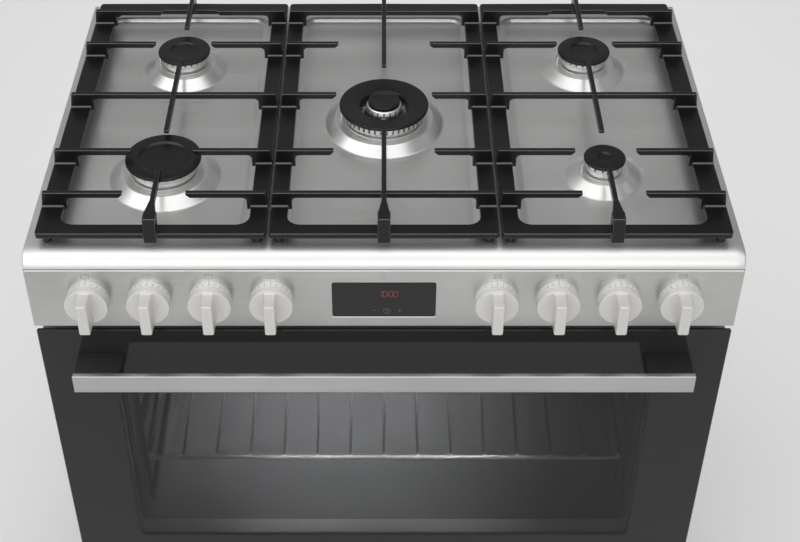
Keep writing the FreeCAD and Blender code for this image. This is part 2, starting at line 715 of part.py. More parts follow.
def make_feet():
    names = ["foot_front_left", "foot_rear_left", "foot_front_right", "foot_rear_right"]
    for node, (x, y) in zip(names, foot_spots()):
        body = new_body(node, (x, y, 0))
        sketch = sketch_on(body, "XZ_Plane")
        top = c.foot_height + c.foot_stem_top
        outline(sketch, [
            (0, 0), (c.foot_pad, 0), (c.foot_pad, c.foot_pad_height / 2),
            (c.foot_pad - c.foot_pad_height / 2, c.foot_pad_height), (c.foot_boss, c.foot_pad_height),
            (c.foot_boss, c.foot_pad_height * 2), (c.foot_stem, c.foot_pad_height * 2),
            (c.foot_stem, top), (0, top)])
        revolve(body, sketch)
        keep(node, body)


cavity_floor = door_bottom + c.cavity_sill
cavity_roof = cavity_floor + c.cavity_height
cavity_half = c.cavity_width / 2
cavity_back = frame_back + cavity_depth
cover_face = cavity_back - c.steel - c.cover_depth
drawer_mouth_half = c.drawer_side + c.runner_width + c.fit


def make_front_frame():
    body = new_body("front_frame")
    half = body_side
    sketch = sketch_on(body, "XZ_Plane", -frame_face)
    top = panel_bottom + c.frame_cover
    rectangle(sketch, (-half, c.foot_height + c.base_height + c.fit), (half, top))
    rectangle(sketch, (-cavity_half, cavity_floor), (cavity_half, cavity_roof), c.cavity_corner)
    rectangle(sketch, (-drawer_mouth_half, c.drawer_bottom + c.drawer_lift - c.mouth_edge),
              (drawer_mouth_half, drawer_top - c.mouth_edge))
    for side in half_turns:
        slot = c.hinge_plate / 2 + c.fit
        rectangle(sketch, (c.hinge_side * side - slot, hinge_z - c.hinge_eye - c.fit),
                  (c.hinge_side * side + slot, hinge_z + c.hinge_eye + c.fit))
    extrude(body, sketch, c.steel, backwards=True)
    keep("front_frame", body)


# Oven: an open-fronted box with rounded corners and a lip behind the frame.
def make_oven_cavity():
    body = new_body("oven_cavity")
    sketch = sketch_on(body, "XZ_Plane", -(frame_back + c.fit))
    grow = c.steel
    rectangle(sketch, (-cavity_half - grow, cavity_floor - grow), (cavity_half + grow, cavity_roof + grow),
              c.cavity_corner + grow)
    extrude(body, sketch, cavity_depth, backwards=True)
    lip = sketch_on(body, "XZ_Plane", -(frame_back + c.fit))
    rectangle(lip, (-cavity_half - c.cavity_lip, cavity_floor - c.cavity_lip),
              (cavity_half + c.cavity_lip, cavity_roof + c.cavity_lip), c.cavity_corner + c.cavity_lip)
    extrude(body, lip, c.steel, backwards=True)
    hollow = sketch_on(body, "XZ_Plane", -(frame_back + c.fit))
    rectangle(hollow, (-cavity_half, cavity_floor), (cavity_half, cavity_roof), c.cavity_corner)
    extrude(body, hollow, cavity_depth - c.steel, "Pocket")
    ports = sketch_on(body, "XZ_Plane", -(frame_back + c.fit))
    circle(ports, (0, fan_height), c.fan_shaft + c.fit * 3)
    circle(ports, (c.lamp_side, cavity_floor + c.lamp_height), c.lamp_radius - c.lamp_seat)
    extrude(body, ports, cavity_depth + c.overrun, "Pocket")
    keep("oven_cavity", body)


fan_height = cavity_floor + c.fan_axis


def make_shelf_ladders():
    wires = []
    for side in half_turns:
        x = (cavity_half - c.ladder_wire - c.fit) * side
        near, far = frame_back + c.ladder_front, cover_face - c.ladder_rear
        bars = []
        for y in (near, far):
            bars.append(rod("upright", c.ladder_wire, "z", (x, y, cavity_floor + c.ladder_low / 2),
                            c.ladder_high + c.ladder_low / 2))
        inner = (cavity_half - c.ladder_wire * 3) * side
        for rank in range(ladder_steps):
            for rise in (0, c.ladder_pair):
                z = cavity_floor + c.ladder_low + c.ladder_rungs * rank + rise
                bars.append(rod("rung", c.ladder_wire, "y", (inner, near - c.ladder_end, z),
                                far - near + c.ladder_end * 2))
        wires.append(joined("ladder", bars))
    keep("shelf_ladders", grouped("shelf_ladders", wires))


def make_wire_shelf():
    half = cavity_half - c.ladder_wire * 2 - c.shelf_gap
    z = cavity_floor + c.ladder_low + c.ladder_rungs + c.ladder_wire + c.shelf_frame_wire
    near = frame_back + c.shelf_front
    far = cover_face - c.shelf_rear
    bars = []
    for x in (-half + c.shelf_frame_wire, half - c.shelf_frame_wire):
        bars.append(rod("shelf_side", c.shelf_frame_wire, "y", (x, near, z), far - near))
    for y in (near, far):
        bars.append(rod("shelf_end", c.shelf_frame_wire, "x", (-half + c.shelf_frame_wire, y, z),
                        (half - c.shelf_frame_wire) * 2))
    pitch = (half - c.shelf_frame_wire) * 2 / shelf_spaces
    for rank in range(1, shelf_spaces):
        x = -half + c.shelf_frame_wire + pitch * rank
        bars.append(rod("shelf_wire", c.shelf_wire, "y", (x, near, z), far - near))
    keep("wire_shelf", joined("wire_shelf", bars))


# Grill element: one rod folded into parallel legs under the oven roof.
def make_grill_element():
    pitch = c.grill_width.value / (grill_legs - 1)
    radius = pitch / 2
    z = cavity_roof.value - c.grill_drop.value
    near = frame_back.value + c.grill_front.value
    far = (cover_face - c.ladder_rear).value
    left = -c.grill_width.value / 2
    edges = []
    vector = FreeCAD.Vector
    tail = cavity_back.value - c.steel.value - c.fit.value
    for leg in range(grill_legs):
        x = left + pitch * leg
        start = tail if leg in (0, grill_legs - 1) else far
        low, high = vector(x, near, z), vector(x, start, z)
        edges.append(Part.LineSegment(high, low) if leg % 2 == 0 else Part.LineSegment(low, high))
        if leg < grill_legs - 1:
            end = near if leg % 2 == 0 else far
            bulge = -radius if leg % 2 == 0 else radius
            edges.append(Part.Arc(vector(x, end, z), vector(x + radius, end + bulge, z),
                                  vector(x + pitch, end, z)))
    path = Part.Wire([edge.toShape() for edge in edges])
    ring = Part.Wire([Part.Circle(vector(left, tail, z), vector(0, 1, 0), c.grill_wire.value).toShape()])
    element = document.addObject("Part::Feature", unique("grill_element"))
    element.Shape = path.makePipeShell([ring], True, False)
    keep("grill_element", element)


def make_fan_cover():
    body = new_body("fan_cover")
    half = c.cover_width / 2
    low, high = fan_height - c.cover_height / 2, fan_height + c.cover_height / 2
    plate = sketch_on(body, "XZ_Plane", -cover_face)
    rectangle(plate, (-half, low), (half, high), c.cover_corner)
    extrude(body, plate, c.cover_depth - c.fit, backwards=True)
    hollow = sketch_on(body, "XZ_Plane", -(cover_face + c.steel))
    rectangle(hollow, (-half + c.steel, low + c.steel), (half - c.steel, high - c.steel),
              c.cover_corner - c.steel)
    extrude(body, hollow, c.cover_depth + c.overrun, "Pocket")
    holes = sketch_on(body, "XZ_Plane", -cover_face)
    circle(holes, (0, fan_height), c.cover_hole)
    for ring_share, count in cover_rings:
        for turn in range(count):
            angle = 2 * math.pi * turn / count
            reach = c.cover_ring * ring_share
            circle(holes, (reach * math.cos(angle), fan_height + reach * math.sin(angle)), c.cover_hole)
    for side in half_turns:
        slot_x = (half - c.cover_corner - c.cover_slot_width) * side
        rectangle(holes, (slot_x - c.cover_slot_width / 2, fan_height - c.cover_slot_length / 2),
                  (slot_x + c.cover_slot_width / 2, fan_height + c.cover_slot_length / 2))
    extrude(body, holes, c.steel + c.overrun, "Pocket", backwards=True)
    keep("fan_cover", body)


def make_convection_fan():
    rear = cavity_back - c.steel - c.fan_stand
    near = rear - c.fan_depth
    hub = rod("fan_hub", c.fan_hub, "y", (0, near, fan_height), c.fan_depth)
    plate = rod("fan_plate", c.fan_radius, "y", (0, rear - c.steel, fan_height), c.steel)
    shaft = rod("fan_axle", c.fan_shaft - c.slip, "y", (0, rear - c.steel, fan_height),
                c.fan_stand + c.steel * 2 + c.fan_tail)
    blades = []
    reach = c.fan_hub / 2
    for turn in range(fan_blades):
        blade = box("fan_blade", (reach, c.fan_radius), (near, rear), (0, c.fan_blade))
        angle = 360 * turn / fan_blades
        across, up = math.cos(math.radians(angle)), math.sin(math.radians(angle))
        place(blade, (reach * across, near, fan_height + reach * up),
              FreeCAD.Rotation(FreeCAD.Vector(0, 1, 0), -angle))
        blades.append(blade)
    keep("convection_fan", joined("convection_fan", [hub, plate, shaft] + blades))


def make_fan_motor():
    body = new_body("fan_motor", (0, cavity_back + c.fit * 2, fan_height))
    sketch = sketch_on(body, "YZ_Plane")
    bore = c.fan_shaft
    outline(sketch, [
        (0, bore), (c.motor_depth - c.motor_step, bore), (c.motor_depth - c.motor_step, 0),
        (c.motor_depth, 0), (c.motor_depth, c.motor_radius / 2),
        (c.motor_depth - c.motor_step, c.motor_radius), (c.motor_step * 2, c.motor_radius),
        (c.motor_step * 2, c.motor_radius / 2), (0, c.motor_radius / 2)])
    revolve(body, sketch, "H_Axis")
    keep("fan_motor", body)


def make_oven_lamp():
    rear = cavity_back - c.steel
    body = new_body("oven_lamp", (c.lamp_side, rear, cavity_floor + c.lamp_height))
    sketch = sketch_on(body, "YZ_Plane")
    neck = c.lamp_radius - c.lamp_neck
    outline(sketch, [
        (-c.lamp_depth, 0), (-c.lamp_depth, c.lamp_radius / 2), (-c.lamp_depth / 2, c.lamp_radius),
        (-c.fit, c.lamp_radius), (-c.fit, neck), (c.lamp_depth * 2, neck), (c.lamp_depth * 2, 0)])
    revolve(body, sketch, "H_Axis")
    keep("oven_lamp", body)


def make_door_seal():
    body = new_body("door_seal")
    sketch = sketch_on(body, "XZ_Plane", -frame_face)
    inner = c.cavity_lip / 2
    outer = inner + c.seal_width
    for grow in (inner, outer):
        rectangle(sketch, (-cavity_half - grow, cavity_floor - grow),
                  (cavity_half + grow, cavity_roof + grow), c.cavity_corner + grow)
    extrude(body, sketch, c.frame_setback - c.door_thick - c.fit)
    keep("door_seal", body)


# Control panel: a folded steel strip with a window for the clock and a hole for each spindle.
def knob_spots():
    return [(c.knob_first + c.knob_pitch * rank) * side for side, ranks in
            ((-1, (3, 2, 1, 0)), (1, (0, 1, 2, 3))) for rank in ranks]


def make_control_panel():
    body = new_body("control_panel")
    half = c.hob_width / 2
    high = panel_top - c.fit
    folded = sketch_on(body, "YZ_Plane")
    outline(folded, [
        (front, panel_bottom), (front + c.panel_return, panel_bottom),
        (front + c.panel_return, panel_bottom + c.steel), (front + c.steel, panel_bottom + c.steel),
        (front + c.steel, high - c.steel), (front + c.roll_radius, high - c.steel),
        (front + c.roll_radius, high), (front, high)])
    extrude(body, folded, c.hob_width, both=True)
    for side in half_turns:
        cheek = sketch_on(body, "YZ_Plane", (half - c.steel if side > 0 else -half))
        rectangle(cheek, (front, panel_bottom), (front + c.roll_radius, high))
        extrude(body, cheek, c.steel)
    openings = sketch_on(body, "XZ_Plane", -front)
    clock_top = hob - c.clock_drop
    rectangle(openings, (-c.clock_width / 2 - c.fit, clock_top - c.clock_height - c.fit),
              (c.clock_width / 2 + c.fit, clock_top + c.fit), c.clock_corner)
    for x in knob_spots():
        circle(openings, (x, knob_height), c.hub_radius + c.fit * 2)
    extrude(body, openings, c.steel + c.overrun, "Pocket", backwards=False, both=True)
    keep("control_panel", body)


def make_clock_display():
    body = new_body("clock_display")
    top = hob - c.clock_drop
    half = c.clock_width / 2
    pane = sketch_on(body, "XZ_Plane", -(front - c.clock_proud))
    rectangle(pane, (-half, top - c.clock_height), (half, top), c.clock_corner)
    extrude(body, pane, c.glass_thick, backwards=True)
    housing = sketch_on(body, "XZ_Plane", -(front + c.glass_thick - c.clock_proud))
    inset = c.clock_body_inset
    rectangle(housing, (-half + inset, top - c.clock_height + inset), (half - inset, top - inset))
    extrude(body, housing, c.clock_depth, backwards=True)
    keep("clock_display", body)


def make_dial_rings():
    rings = []
    for x in knob_spots():
        body = new_body("dial_ring", (x, front - c.slip, knob_height))
        sketch = sketch_on(body, "YZ_Plane")
        inner = c.ring_radius - c.ring_wall
        outline(sketch, [
            (0, inner), (0, c.ring_radius), (-(c.ring_depth - c.ring_bevel), c.ring_radius),
            (-c.ring_depth, c.ring_radius - c.ring_bevel), (-c.ring_depth, inner)])
        revolve(body, sketch, "H_Axis")
        rings.append(body)
    keep("dial_rings", grouped("dial_rings", rings))


# Knobs: a skirted disc with a tall grip bar; the five gas knobs sit on spindles that push in.
gas_ranks = (3, 4, 5, 6, 7)


def make_knob(number, x):
    body = new_body("knob_%d" % number, (x, front, knob_height))
    sketch = sketch_on(body, "YZ_Plane")
    shaft = c.spindle_radius + c.slip
    inside = c.ring_radius + c.skirt_clearance
    outline(sketch, [
        (-c.spindle_front - c.slip, 0), (-c.spindle_front - c.slip, shaft), (-c.hub_back, shaft),
        (-c.hub_back, c.hub_radius), (-(c.knob_front - c.knob_web), c.hub_radius),
        (-(c.knob_front - c.knob_web), inside), (-c.knob_skirt, inside),
        (-c.knob_skirt, c.knob_radius), (-(c.knob_front - c.knob_bevel), c.knob_radius),
        (-c.knob_front, c.knob_radius - c.knob_bevel), (-c.knob_front, c.hub_radius - c.knob_bevel),
        (-c.spindle_front - c.knob_bevel, c.hub_radius - c.knob_bevel),
        (-c.spindle_front - c.knob_bevel, 0)])
    revolve(body, sketch, "H_Axis")
    grip = sketch_on(body, "XZ_Plane", c.knob_front - c.slip)
    wide = c.grip_width / 2
    tall = c.grip_height / 2
    rectangle(grip, (-wide, -tall), (wide, tall), c.grip_edge)
    bar = extrude(body, grip, c.grip_front - c.knob_front + c.slip, taper=-c.grip_taper)
    bore = sketch_on(body, "XZ_Plane", c.spindle_front + c.slip)
    circle(bore, (0, 0), shaft)
    hole = extrude(body, bore, c.spindle_front, "Pocket")
    soften(body, hole, c.knob_bevel, lambda edge: abs(edge.CenterOfMass.y + c.grip_front.value) < 1e-3)
    keep("knob_%d" % number, body)


def make_tap_spindle(number, x):
    body = new_body("tap_spindle_%d" % number, (x, front, knob_height))
    sketch = sketch_on(body, "YZ_Plane")
    radius = c.spindle_radius
    outline(sketch, [
        (-c.spindle_front, 0), (-c.spindle_front, radius), (c.spindle_tail, radius),
        (c.spindle_tail, 0)])
    revolve(body, sketch, "H_Axis")
    keep("tap_spindle_%d" % number, body)


# Gas rail: a pipe behind the panel with a tap at each gas knob and a feed from the back.
def make_gas_rail():
    y = front + c.rail_setback
    spots = [knob_spots()[rank] for rank in gas_ranks]
    tap_half = c.tap_width / 2
    pipes = [
        rod("rail", c.rail_radius, "x", (spots[0] - c.tap_width, y, knob_height),
            c.pipe_side - spots[0] + c.tap_width),
        box("elbow", (c.pipe_side - c.elbow_half, c.pipe_side + c.elbow_half),
            (y - c.elbow_half, y + c.elbow_half),
            (knob_height - c.elbow_half, knob_height + c.elbow_half)),
        rod("feed", c.rail_radius, "y", (c.pipe_side, y, knob_height),
            back - c.inlet_cover - y),
        rod("inlet_nut", c.inlet_nut, "y", (c.pipe_side, back_face + c.fit, knob_height),
            c.inlet_nut_depth),
        rod("inlet", c.inlet_radius, "y", (c.pipe_side, back_face + c.fit, knob_height),
            c.inlet_length),
    ]
    bores = []
    for x in spots:
        pipes.append(box("tap", (x - tap_half, x + tap_half), (front + c.tap_seat, y + tap_half),
                         (knob_height - c.tap_height / 2, knob_height + c.tap_height / 2)))
        pipes.append(rod("tap_barrel", c.tap_barrel, "y", (x, front + c.tap_front, knob_height),
                         c.spindle_tail))
        bores.append(rod("tap_bore", c.spindle_radius + c.slip, "y", (x, front - c.overrun, knob_height),
                         c.spindle_tail + c.push_travel + c.overrun * 2))
    keep("gas_rail", carved("gas_rail", joined("gas_rail_solid", pipes), bores))


def make_oven_switches():
    switches = []
    for rank in range(3):
        x = knob_spots()[rank]
        half = c.switch_size / 2
        shaft = rod("switch_shaft", c.spindle_radius, "y", (x, front - c.spindle_front, knob_height),
                    c.spindle_front + c.switch_front + c.switch_shaft)
        case = box("switch_case", (x - half, x + half), (front + c.switch_front,
                   front + c.switch_front + c.switch_depth), (knob_height - half, knob_height + half))
        switches.append(joined("oven_switch", [shaft, case]))
    keep("oven_switches", grouped("oven_switches", switches))


# Door: a front glass on a frame with an inner glass, hinged at the bottom, with a bar handle.
hinge_y = front + c.hinge_setback
hinge_z = door_bottom + c.hinge_height


def make_door_outer_glass():
    body = new_body("door_outer_glass")
    sketch = sketch_on(body, "XZ_Plane", -front)
    half = c.door_width / 2
    rectangle(sketch, (-half, door_bottom), (half, door_top), c.glass_corner)
    pane = extrude(body, sketch, c.glass_thick, backwards=True)
    soften(body, pane, c.handle_edge, lambda edge: abs(edge.CenterOfMass.y - front.value) < 1e-3,
           "Chamfer")
    keep("door_outer_glass", body)


def make_door_frame():
    body = new_body("door_frame")
    near = front + c.glass_thick
    sketch = sketch_on(body, "XZ_Plane", -near)
    half = c.door_width / 2 - c.door_inset
    low, high = door_bottom + c.fit, door_top - c.door_inset
    window = c.window_width / 2
    window_low, window_high = door_bottom + c.window_bottom, door_top - c.window_top
    rectangle(sketch, (-half, low), (half, high), c.glass_corner)
    rectangle(sketch, (-window, window_low), (window, window_high), c.window_round)
    extrude(body, sketch, c.door_thick - c.glass_thick, backwards=True)
    rim = c.glass_seat
    wall = c.door_wall
    hollow = sketch_on(body, "XZ_Plane", -near)
    rectangle(hollow, (-half + wall, low + wall), (half - wall, high - wall))
    rectangle(hollow, (-window - rim - wall, window_low - rim - wall),
              (window + rim + wall, window_high + rim + wall), c.window_round)
    extrude(body, hollow, c.door_thick - c.glass_thick - wall, "Pocket")
    for side in half_turns:
        block = sketch_on(body, "XY_Plane", low)
        x = c.hinge_side * side
        wide = c.hinge_plate / 2 + c.hinge_cheek + wall
        rectangle(block, (x - wide, near), (x + wide, front + c.door_thick))
        extrude(body, block, hinge_z + c.hinge_eye + wall - low)
    seat = sketch_on(body, "XZ_Plane", -(front + c.door_thick))
    rectangle(seat, (-window - rim, window_low - rim), (window + rim, window_high + rim),
              c.window_round)
    extrude(body, seat, c.glass_thick + c.fit, "Pocket", backwards=True)
    for side in half_turns:
        x = c.hinge_side * side
        slot = sketch_on(body, "XY_Plane", low - c.overrun)
        wide = c.hinge_plate / 2 + c.fit
        rectangle(slot, (x - wide, hinge_y - c.hinge_eye - c.fit),
                  (x + wide, front + c.door_thick + c.overrun))
        extrude(body, slot, hinge_z + c.hinge_eye + c.fit - low + c.overrun, "Pocket", backwards=True)
        pin = sketch_on(body, "YZ_Plane", x)
        circle(pin, (hinge_y, hinge_z), c.hinge_pin + c.slip)
        extrude(body, pin, c.hinge_plate + c.hinge_cheek * 2 + c.fit, "Pocket", both=True)
    keep("door_frame", body)


def make_door_inner_glass():
    window = c.window_width / 2
    rim = c.glass_seat - c.fit
    rear = front + c.door_thick
    low, high = door_bottom + c.window_bottom - rim, door_top - c.window_top + rim
    body = new_body("door_inner_glass")
    sketch = sketch_on(body, "XZ_Plane", -(rear - c.glass_thick))
    rectangle(sketch, (-window - rim, low), (window + rim, high), c.window_round)
    extrude(body, sketch, c.glass_thick - c.fit, backwards=True)
    keep("door_inner_glass", body)


def make_hinge_arms():
    arms = []
    for side in half_turns:
        x = c.hinge_side * side
        half = c.hinge_plate / 2
        plate = box("claw", (x - half, x + half), (hinge_y, hinge_y + c.hinge_claw),
                    (hinge_z - c.hinge_eye / 2, hinge_z + c.hinge_eye / 2))
        hook = box("claw_hook", (x - half, x + half),
                   (hinge_y + c.hinge_claw - c.hinge_eye, hinge_y + c.hinge_claw),
                   (hinge_z - c.hinge_eye * 2, hinge_z))
        eye = rod("claw_eye", c.hinge_eye, "x", (x - half, hinge_y, hinge_z), c.hinge_plate)
        pin = rod("claw_pin", c.hinge_pin, "x", (x - half - c.hinge_cheek, hinge_y, hinge_z),
                  c.hinge_plate + c.hinge_cheek * 2)
        arms.append(joined("hinge_arm", [plate, hook, eye, pin]))
    keep("hinge_arms", grouped("hinge_arms", arms))


handle_top = door_top - c.handle_drop


def make_handle_bar():
    body = new_body("handle_bar")
    sketch = sketch_on(body, "YZ_Plane")
    near = front - c.handle_reach
    rectangle(sketch, (near, handle_top - c.handle_height), (near + c.handle_thick, handle_top),
              c.handle_edge)
    extrude(body, sketch, c.handle_length, both=True)
    keep("handle_bar", body)


def make_handle_brackets():
    brackets = []
    for side in half_turns:
        body = new_body("handle_bracket")
        outer = c.handle_length / 2 * side
        low = handle_top - c.handle_height / 2 - c.bracket_height / 2
        sketch = sketch_on(body, "XZ_Plane", -(front - c.handle_reach + c.handle_thick))
        edges = sorted((outer, outer - c.bracket_width * side), key=lambda size: size.value)
        rectangle(sketch, (edges[0], low), (edges[1], low + c.bracket_height), c.bracket_corner)
        extrude(body, sketch, c.handle_reach - c.handle_thick, backwards=True)
        brackets.append(body)
    keep("handle_brackets", grouped("handle_brackets", brackets))


# Storage drawer under the oven: a folded front, an open box and two fixed runners.
def make_drawer_front():
    body = new_body("drawer_front")
    half = c.door_width / 2
    sketch = sketch_on(body, "YZ_Plane")
    skin = c.steel
    low, high = c.drawer_bottom, drawer_top
    outline(sketch, [
        (front, low), (front + c.drawer_thick, low), (front + c.drawer_thick, low + c.drawer_fold),
        (front + c.drawer_thick - skin, low + c.drawer_fold), (front + c.drawer_thick - skin, low + skin),
        (front + skin, low + skin), (front + skin, high - skin),
        (front + c.drawer_thick - skin, high - skin), (front + c.drawer_thick - skin, high - c.drawer_fold),
        (front + c.drawer_thick, high - c.drawer_fold), (front + c.drawer_thick, high), (front, high)])
    extrude(body, sketch, half * 2, both=True)
    for side in half_turns:
        cheek = sketch_on(body, "YZ_Plane", (half - c.steel if side > 0 else -half))
        rectangle(cheek, (front, low), (front + c.drawer_thick, high))
        extrude(body, cheek, c.steel)
    keep("drawer_front", body)


drawer_floor = c.drawer_bottom + c.drawer_lift
runner_low = drawer_floor + c.runner_lift


def make_drawer_box():
    near, far = front + c.drawer_thick, front + c.drawer_thick + c.drawer_depth
    half = c.drawer_side
    high = drawer_floor + c.drawer_wall
    outer = box("drawer", (-half, half), (near, far), (drawer_floor, high))
    hollow = box("drawer_hollow", (-half + c.steel, half - c.steel), (near + c.steel, far - c.steel),
                 (drawer_floor + c.steel, high + c.overrun))
    tray = carved("drawer_tray", outer, [hollow])
    rails = []
    for side in half_turns:
        edges = sorted((half * side - c.steel * side, (half + c.runner_width - c.steel - c.fit) * side),
                       key=lambda size: size.value)
        rails.append(box("drawer_rail", edges, (near + c.drawer_fold, far),
                         (runner_low + c.steel + c.fit, runner_low + c.runner_height - c.steel - c.fit)))
    keep("drawer_box", joined("drawer_box", [tray] + rails))


def make_drawer_runners():
    runners = []
    for side in half_turns:
        body = new_body("runner")
        near = frame_back + c.fit
        sketch = sketch_on(body, "XZ_Plane", -near)
        inner = (c.drawer_side + c.fit) * side
        outer = (c.drawer_side + c.runner_width) * side
        skin = c.steel * side
        low, high = runner_low, runner_low + c.runner_height
        outline(sketch, [
            (inner, low), (outer, low), (outer, high), (inner, high), (inner, high - c.steel),
            (outer - skin, high - c.steel), (outer - skin, low + c.steel), (inner, low + c.steel)])
        extrude(body, sketch, c.runner_length, backwards=True)
        tab = sketch_on(body, "XZ_Plane", -near)
        reach = sorted((outer - skin, outer + c.runner_tab * side), key=lambda size: size.value)
        rectangle(tab, (reach[0], low), (reach[1], high))
        extrude(body, tab, c.steel, backwards=True)
        runners.append(body)
    keep("drawer_runners", grouped("drawer_runners", runners))


make_hob_top()
make_burner_cups()
make_burner_heads()
make_burner_caps()
for side_sign, support_node in ((-1, "pan_support_left"), (0, "pan_support_centre"),
                                (1, "pan_support_right")):
    make_pan_support(side_sign, support_node)
for side_sign in half_turns:
    make_side_panel(side_sign)
make_back_panel()
make_base_tray()
make_feet()
make_front_frame()
make_oven_cavity()
make_shelf_ladders()
make_wire_shelf()
make_grill_element()
make_fan_cover()
make_convection_fan()
make_fan_motor()
make_oven_lamp()
make_door_seal()
make_control_panel()
make_clock_display()
make_dial_rings()
for rank, knob_x in enumerate(knob_spots()):
    make_knob(rank + 1, knob_x)
    if rank in gas_ranks:
        make_tap_spindle(rank + 1, knob_x)
make_gas_rail()
make_oven_switches()
make_door_outer_glass()
make_door_frame()
make_door_inner_glass()
make_hinge_arms()
make_handle_bar()
make_handle_brackets()
make_drawer_front()
make_drawer_box()
make_drawer_runners()
document.recompute()

faults = [thing.Name for thing in document.Objects
          if "Invalid" in thing.State or "Error" in thing.State]
if faults:
    raise RuntimeError("these features failed: " + ", ".join(faults))
for node, part in nodes.items():
    if part.Shape.isNull() or not part.Shape.isValid() or not part.Shape.Solids:
        raise RuntimeError("the shape of %s is not valid" % node)

os.makedirs("parts", exist_ok=True)
for node, part in nodes.items():
    part.Shape.exportStep("parts/%s.step" % node)
print("%d sub-parts written" % len(nodes))
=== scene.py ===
from functools import partial
import math

import bmesh
import bpy
import numpy as np
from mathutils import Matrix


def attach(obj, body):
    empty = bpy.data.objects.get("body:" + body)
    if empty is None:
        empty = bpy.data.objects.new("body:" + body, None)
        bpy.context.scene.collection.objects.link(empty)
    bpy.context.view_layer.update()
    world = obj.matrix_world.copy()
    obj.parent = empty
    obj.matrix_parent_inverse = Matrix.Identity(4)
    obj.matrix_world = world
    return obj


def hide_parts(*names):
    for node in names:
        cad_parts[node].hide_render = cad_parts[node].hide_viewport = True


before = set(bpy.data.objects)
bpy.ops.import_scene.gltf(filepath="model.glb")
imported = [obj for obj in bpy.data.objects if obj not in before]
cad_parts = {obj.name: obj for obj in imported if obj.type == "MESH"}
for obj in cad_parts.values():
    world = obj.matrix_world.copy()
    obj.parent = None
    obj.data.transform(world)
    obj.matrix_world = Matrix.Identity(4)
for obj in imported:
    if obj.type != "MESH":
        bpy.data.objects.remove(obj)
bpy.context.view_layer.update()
turn, quarter = 2 * math.pi, math.pi / 2
smallest = {"length": 1e-7, "turn": 1e-4, "merge": 2e-6}

# Shared places of the cooker, in metres: x to the right, y to the back, z up from the floor
place = {
    "front": -0.275, "back": 0.325, "hobTop": 0.900, "wellFloor": 0.894, "domeTop": 0.906,
    "panelTop": 0.880, "knobHeight": 0.834, "headLow": 0.9075,
}
knobSpots = [-0.3742, -0.2968, -0.2194, -0.142, 0.142, 0.2194, 0.2968, 0.3742]
rearSizes = (0.0605, 0.044, 0.032, 0.0375, 0.019, 24)
burnerRows = {  # middle on the hob; radii of foot, shelf, head, cap and the dish in the cap; slots
    "front_left": ((-0.2905, -0.104), 0.074, 0.057, 0.043, 0.050, 0.032, 30),
    "rear_left": ((-0.2905, 0.155), *rearSizes),
    "centre": ((0.0, 0.019), 0.082, 0.068, 0.054, 0.0615, 0.034, 44),
    "rear_right": ((0.2905, 0.155), *rearSizes),
    "front_right": ((0.2905, -0.104), 0.0505, 0.034, 0.0235, 0.0275, 0.009, 16),
}
burnerValues = ("spot", "foot", "shelf", "head", "cap", "dish", "ports")
burners = {name: dict(zip(burnerValues, row)) for name, row in burnerRows.items()}


# Several values of one dictionary, by names in one line
def pick(form, names):
    return [form[name] for name in names.split()]


# One grid of points (x, y, z) from three arrays that stretch to the same shape
def gridPoints(x, y, z):
    return np.stack(np.broadcast_arrays(x, y, z), axis=-1)


# Camera and light
cameraSettings = {"spot": (0.0, -1.610, 2.053), "tilt": 50.26, "lens": 64.23, "shift": (0.02, -0.05)}


def setCamera(settings):
    data = bpy.data.cameras.new("camera")
    data.lens = settings["lens"]
    data.sensor_width = 36
    data.shift_x, data.shift_y = settings["shift"]
    data.clip_start, data.clip_end = 0.05, 40
    camera = bpy.data.objects.new("camera", data)
    camera.location = settings["spot"]
    camera.rotation_euler = (math.radians(settings["tilt"]), 0, 0)
    bpy.context.scene.collection.objects.link(camera)
    bpy.context.scene.camera = camera


lampSettings = {
    "over": {"spot": (-0.15, -1.65, 2.9), "aim": (0, -0.1, 0.9), "size": (3.6, 2.2), "power": 15},
    "top": {"spot": (-0.1, -0.15, 3.3), "aim": (-0.1, -0.1, 0.9), "size": (2.8, 1.5), "power": 13},
    "front": {"spot": (-0.4, -3.4, 1.6), "aim": (0, -0.275, 0.8), "size": (4.0, 2.1), "power": 28},
    "left": {"spot": (-1.9, -0.35, 2.95), "aim": (0, 0, 0.9), "size": (1.5, 1.3), "power": 14},
    "right": {"spot": (2.5, -0.4, 1.8), "aim": (0, 0, 0.7), "size": (1.2, 1.4), "power": 9},
    "back": {"spot": (0.2, 2.9, 2.0), "aim": (0, 0.2, 0.6), "size": (2.6, 1.6), "power": 20},
    # inside the oven, over its floor and over the shelf's front edge
    "oven": {"spot": (-0.055, 0.02, 0.722), "aim": (-0.08, 0.02, 0.33), "size": (0.10, 0.34),
             "power": 6.3, "spread": 80, "shine": False},
    "shelf": {"spot": (0, -0.195, 0.722), "aim": (0, -0.2118, 0.46), "size": (0.38, 0.015),
              "power": 0.19, "spread": 30, "shine": False},
}
backdrop = {"colour": 0.79, "ambient": 0.54, "floor": (0.80, 0.80, 0.795), "floorHalf": 9.0,
            "farGlow": 0.32, "farFrom": 2.4, "farTo": 5.5}
screenForm = {"radius": 2.35, "low": 0.0, "high": 6.0, "start": -25, "end": 205,
              "left": 1.25, "right": 0.78, "levels": ((1.2, 0.34), (2.6, 0.26), (3.3, 0.20), (4.6, 0.12))}


def setLamps(settings):
    for name, lamp in settings.items():
        data = bpy.data.lights.new(name, "AREA")
        data.shape = "RECTANGLE"
        data.size, data.size_y = lamp["size"]
        data.energy = lamp["power"]
        thing = bpy.data.objects.new(name, data)
        thing.location = lamp["spot"]
        thing.rotation_euler = (
            thing.location - type(thing.location)(lamp["aim"])).to_track_quat("Z", "Y").to_euler()
        data.spread = math.radians(lamp.get("spread", 180))
        thing.visible_glossy = lamp.get("shine", True)
        bpy.context.scene.collection.objects.link(thing)


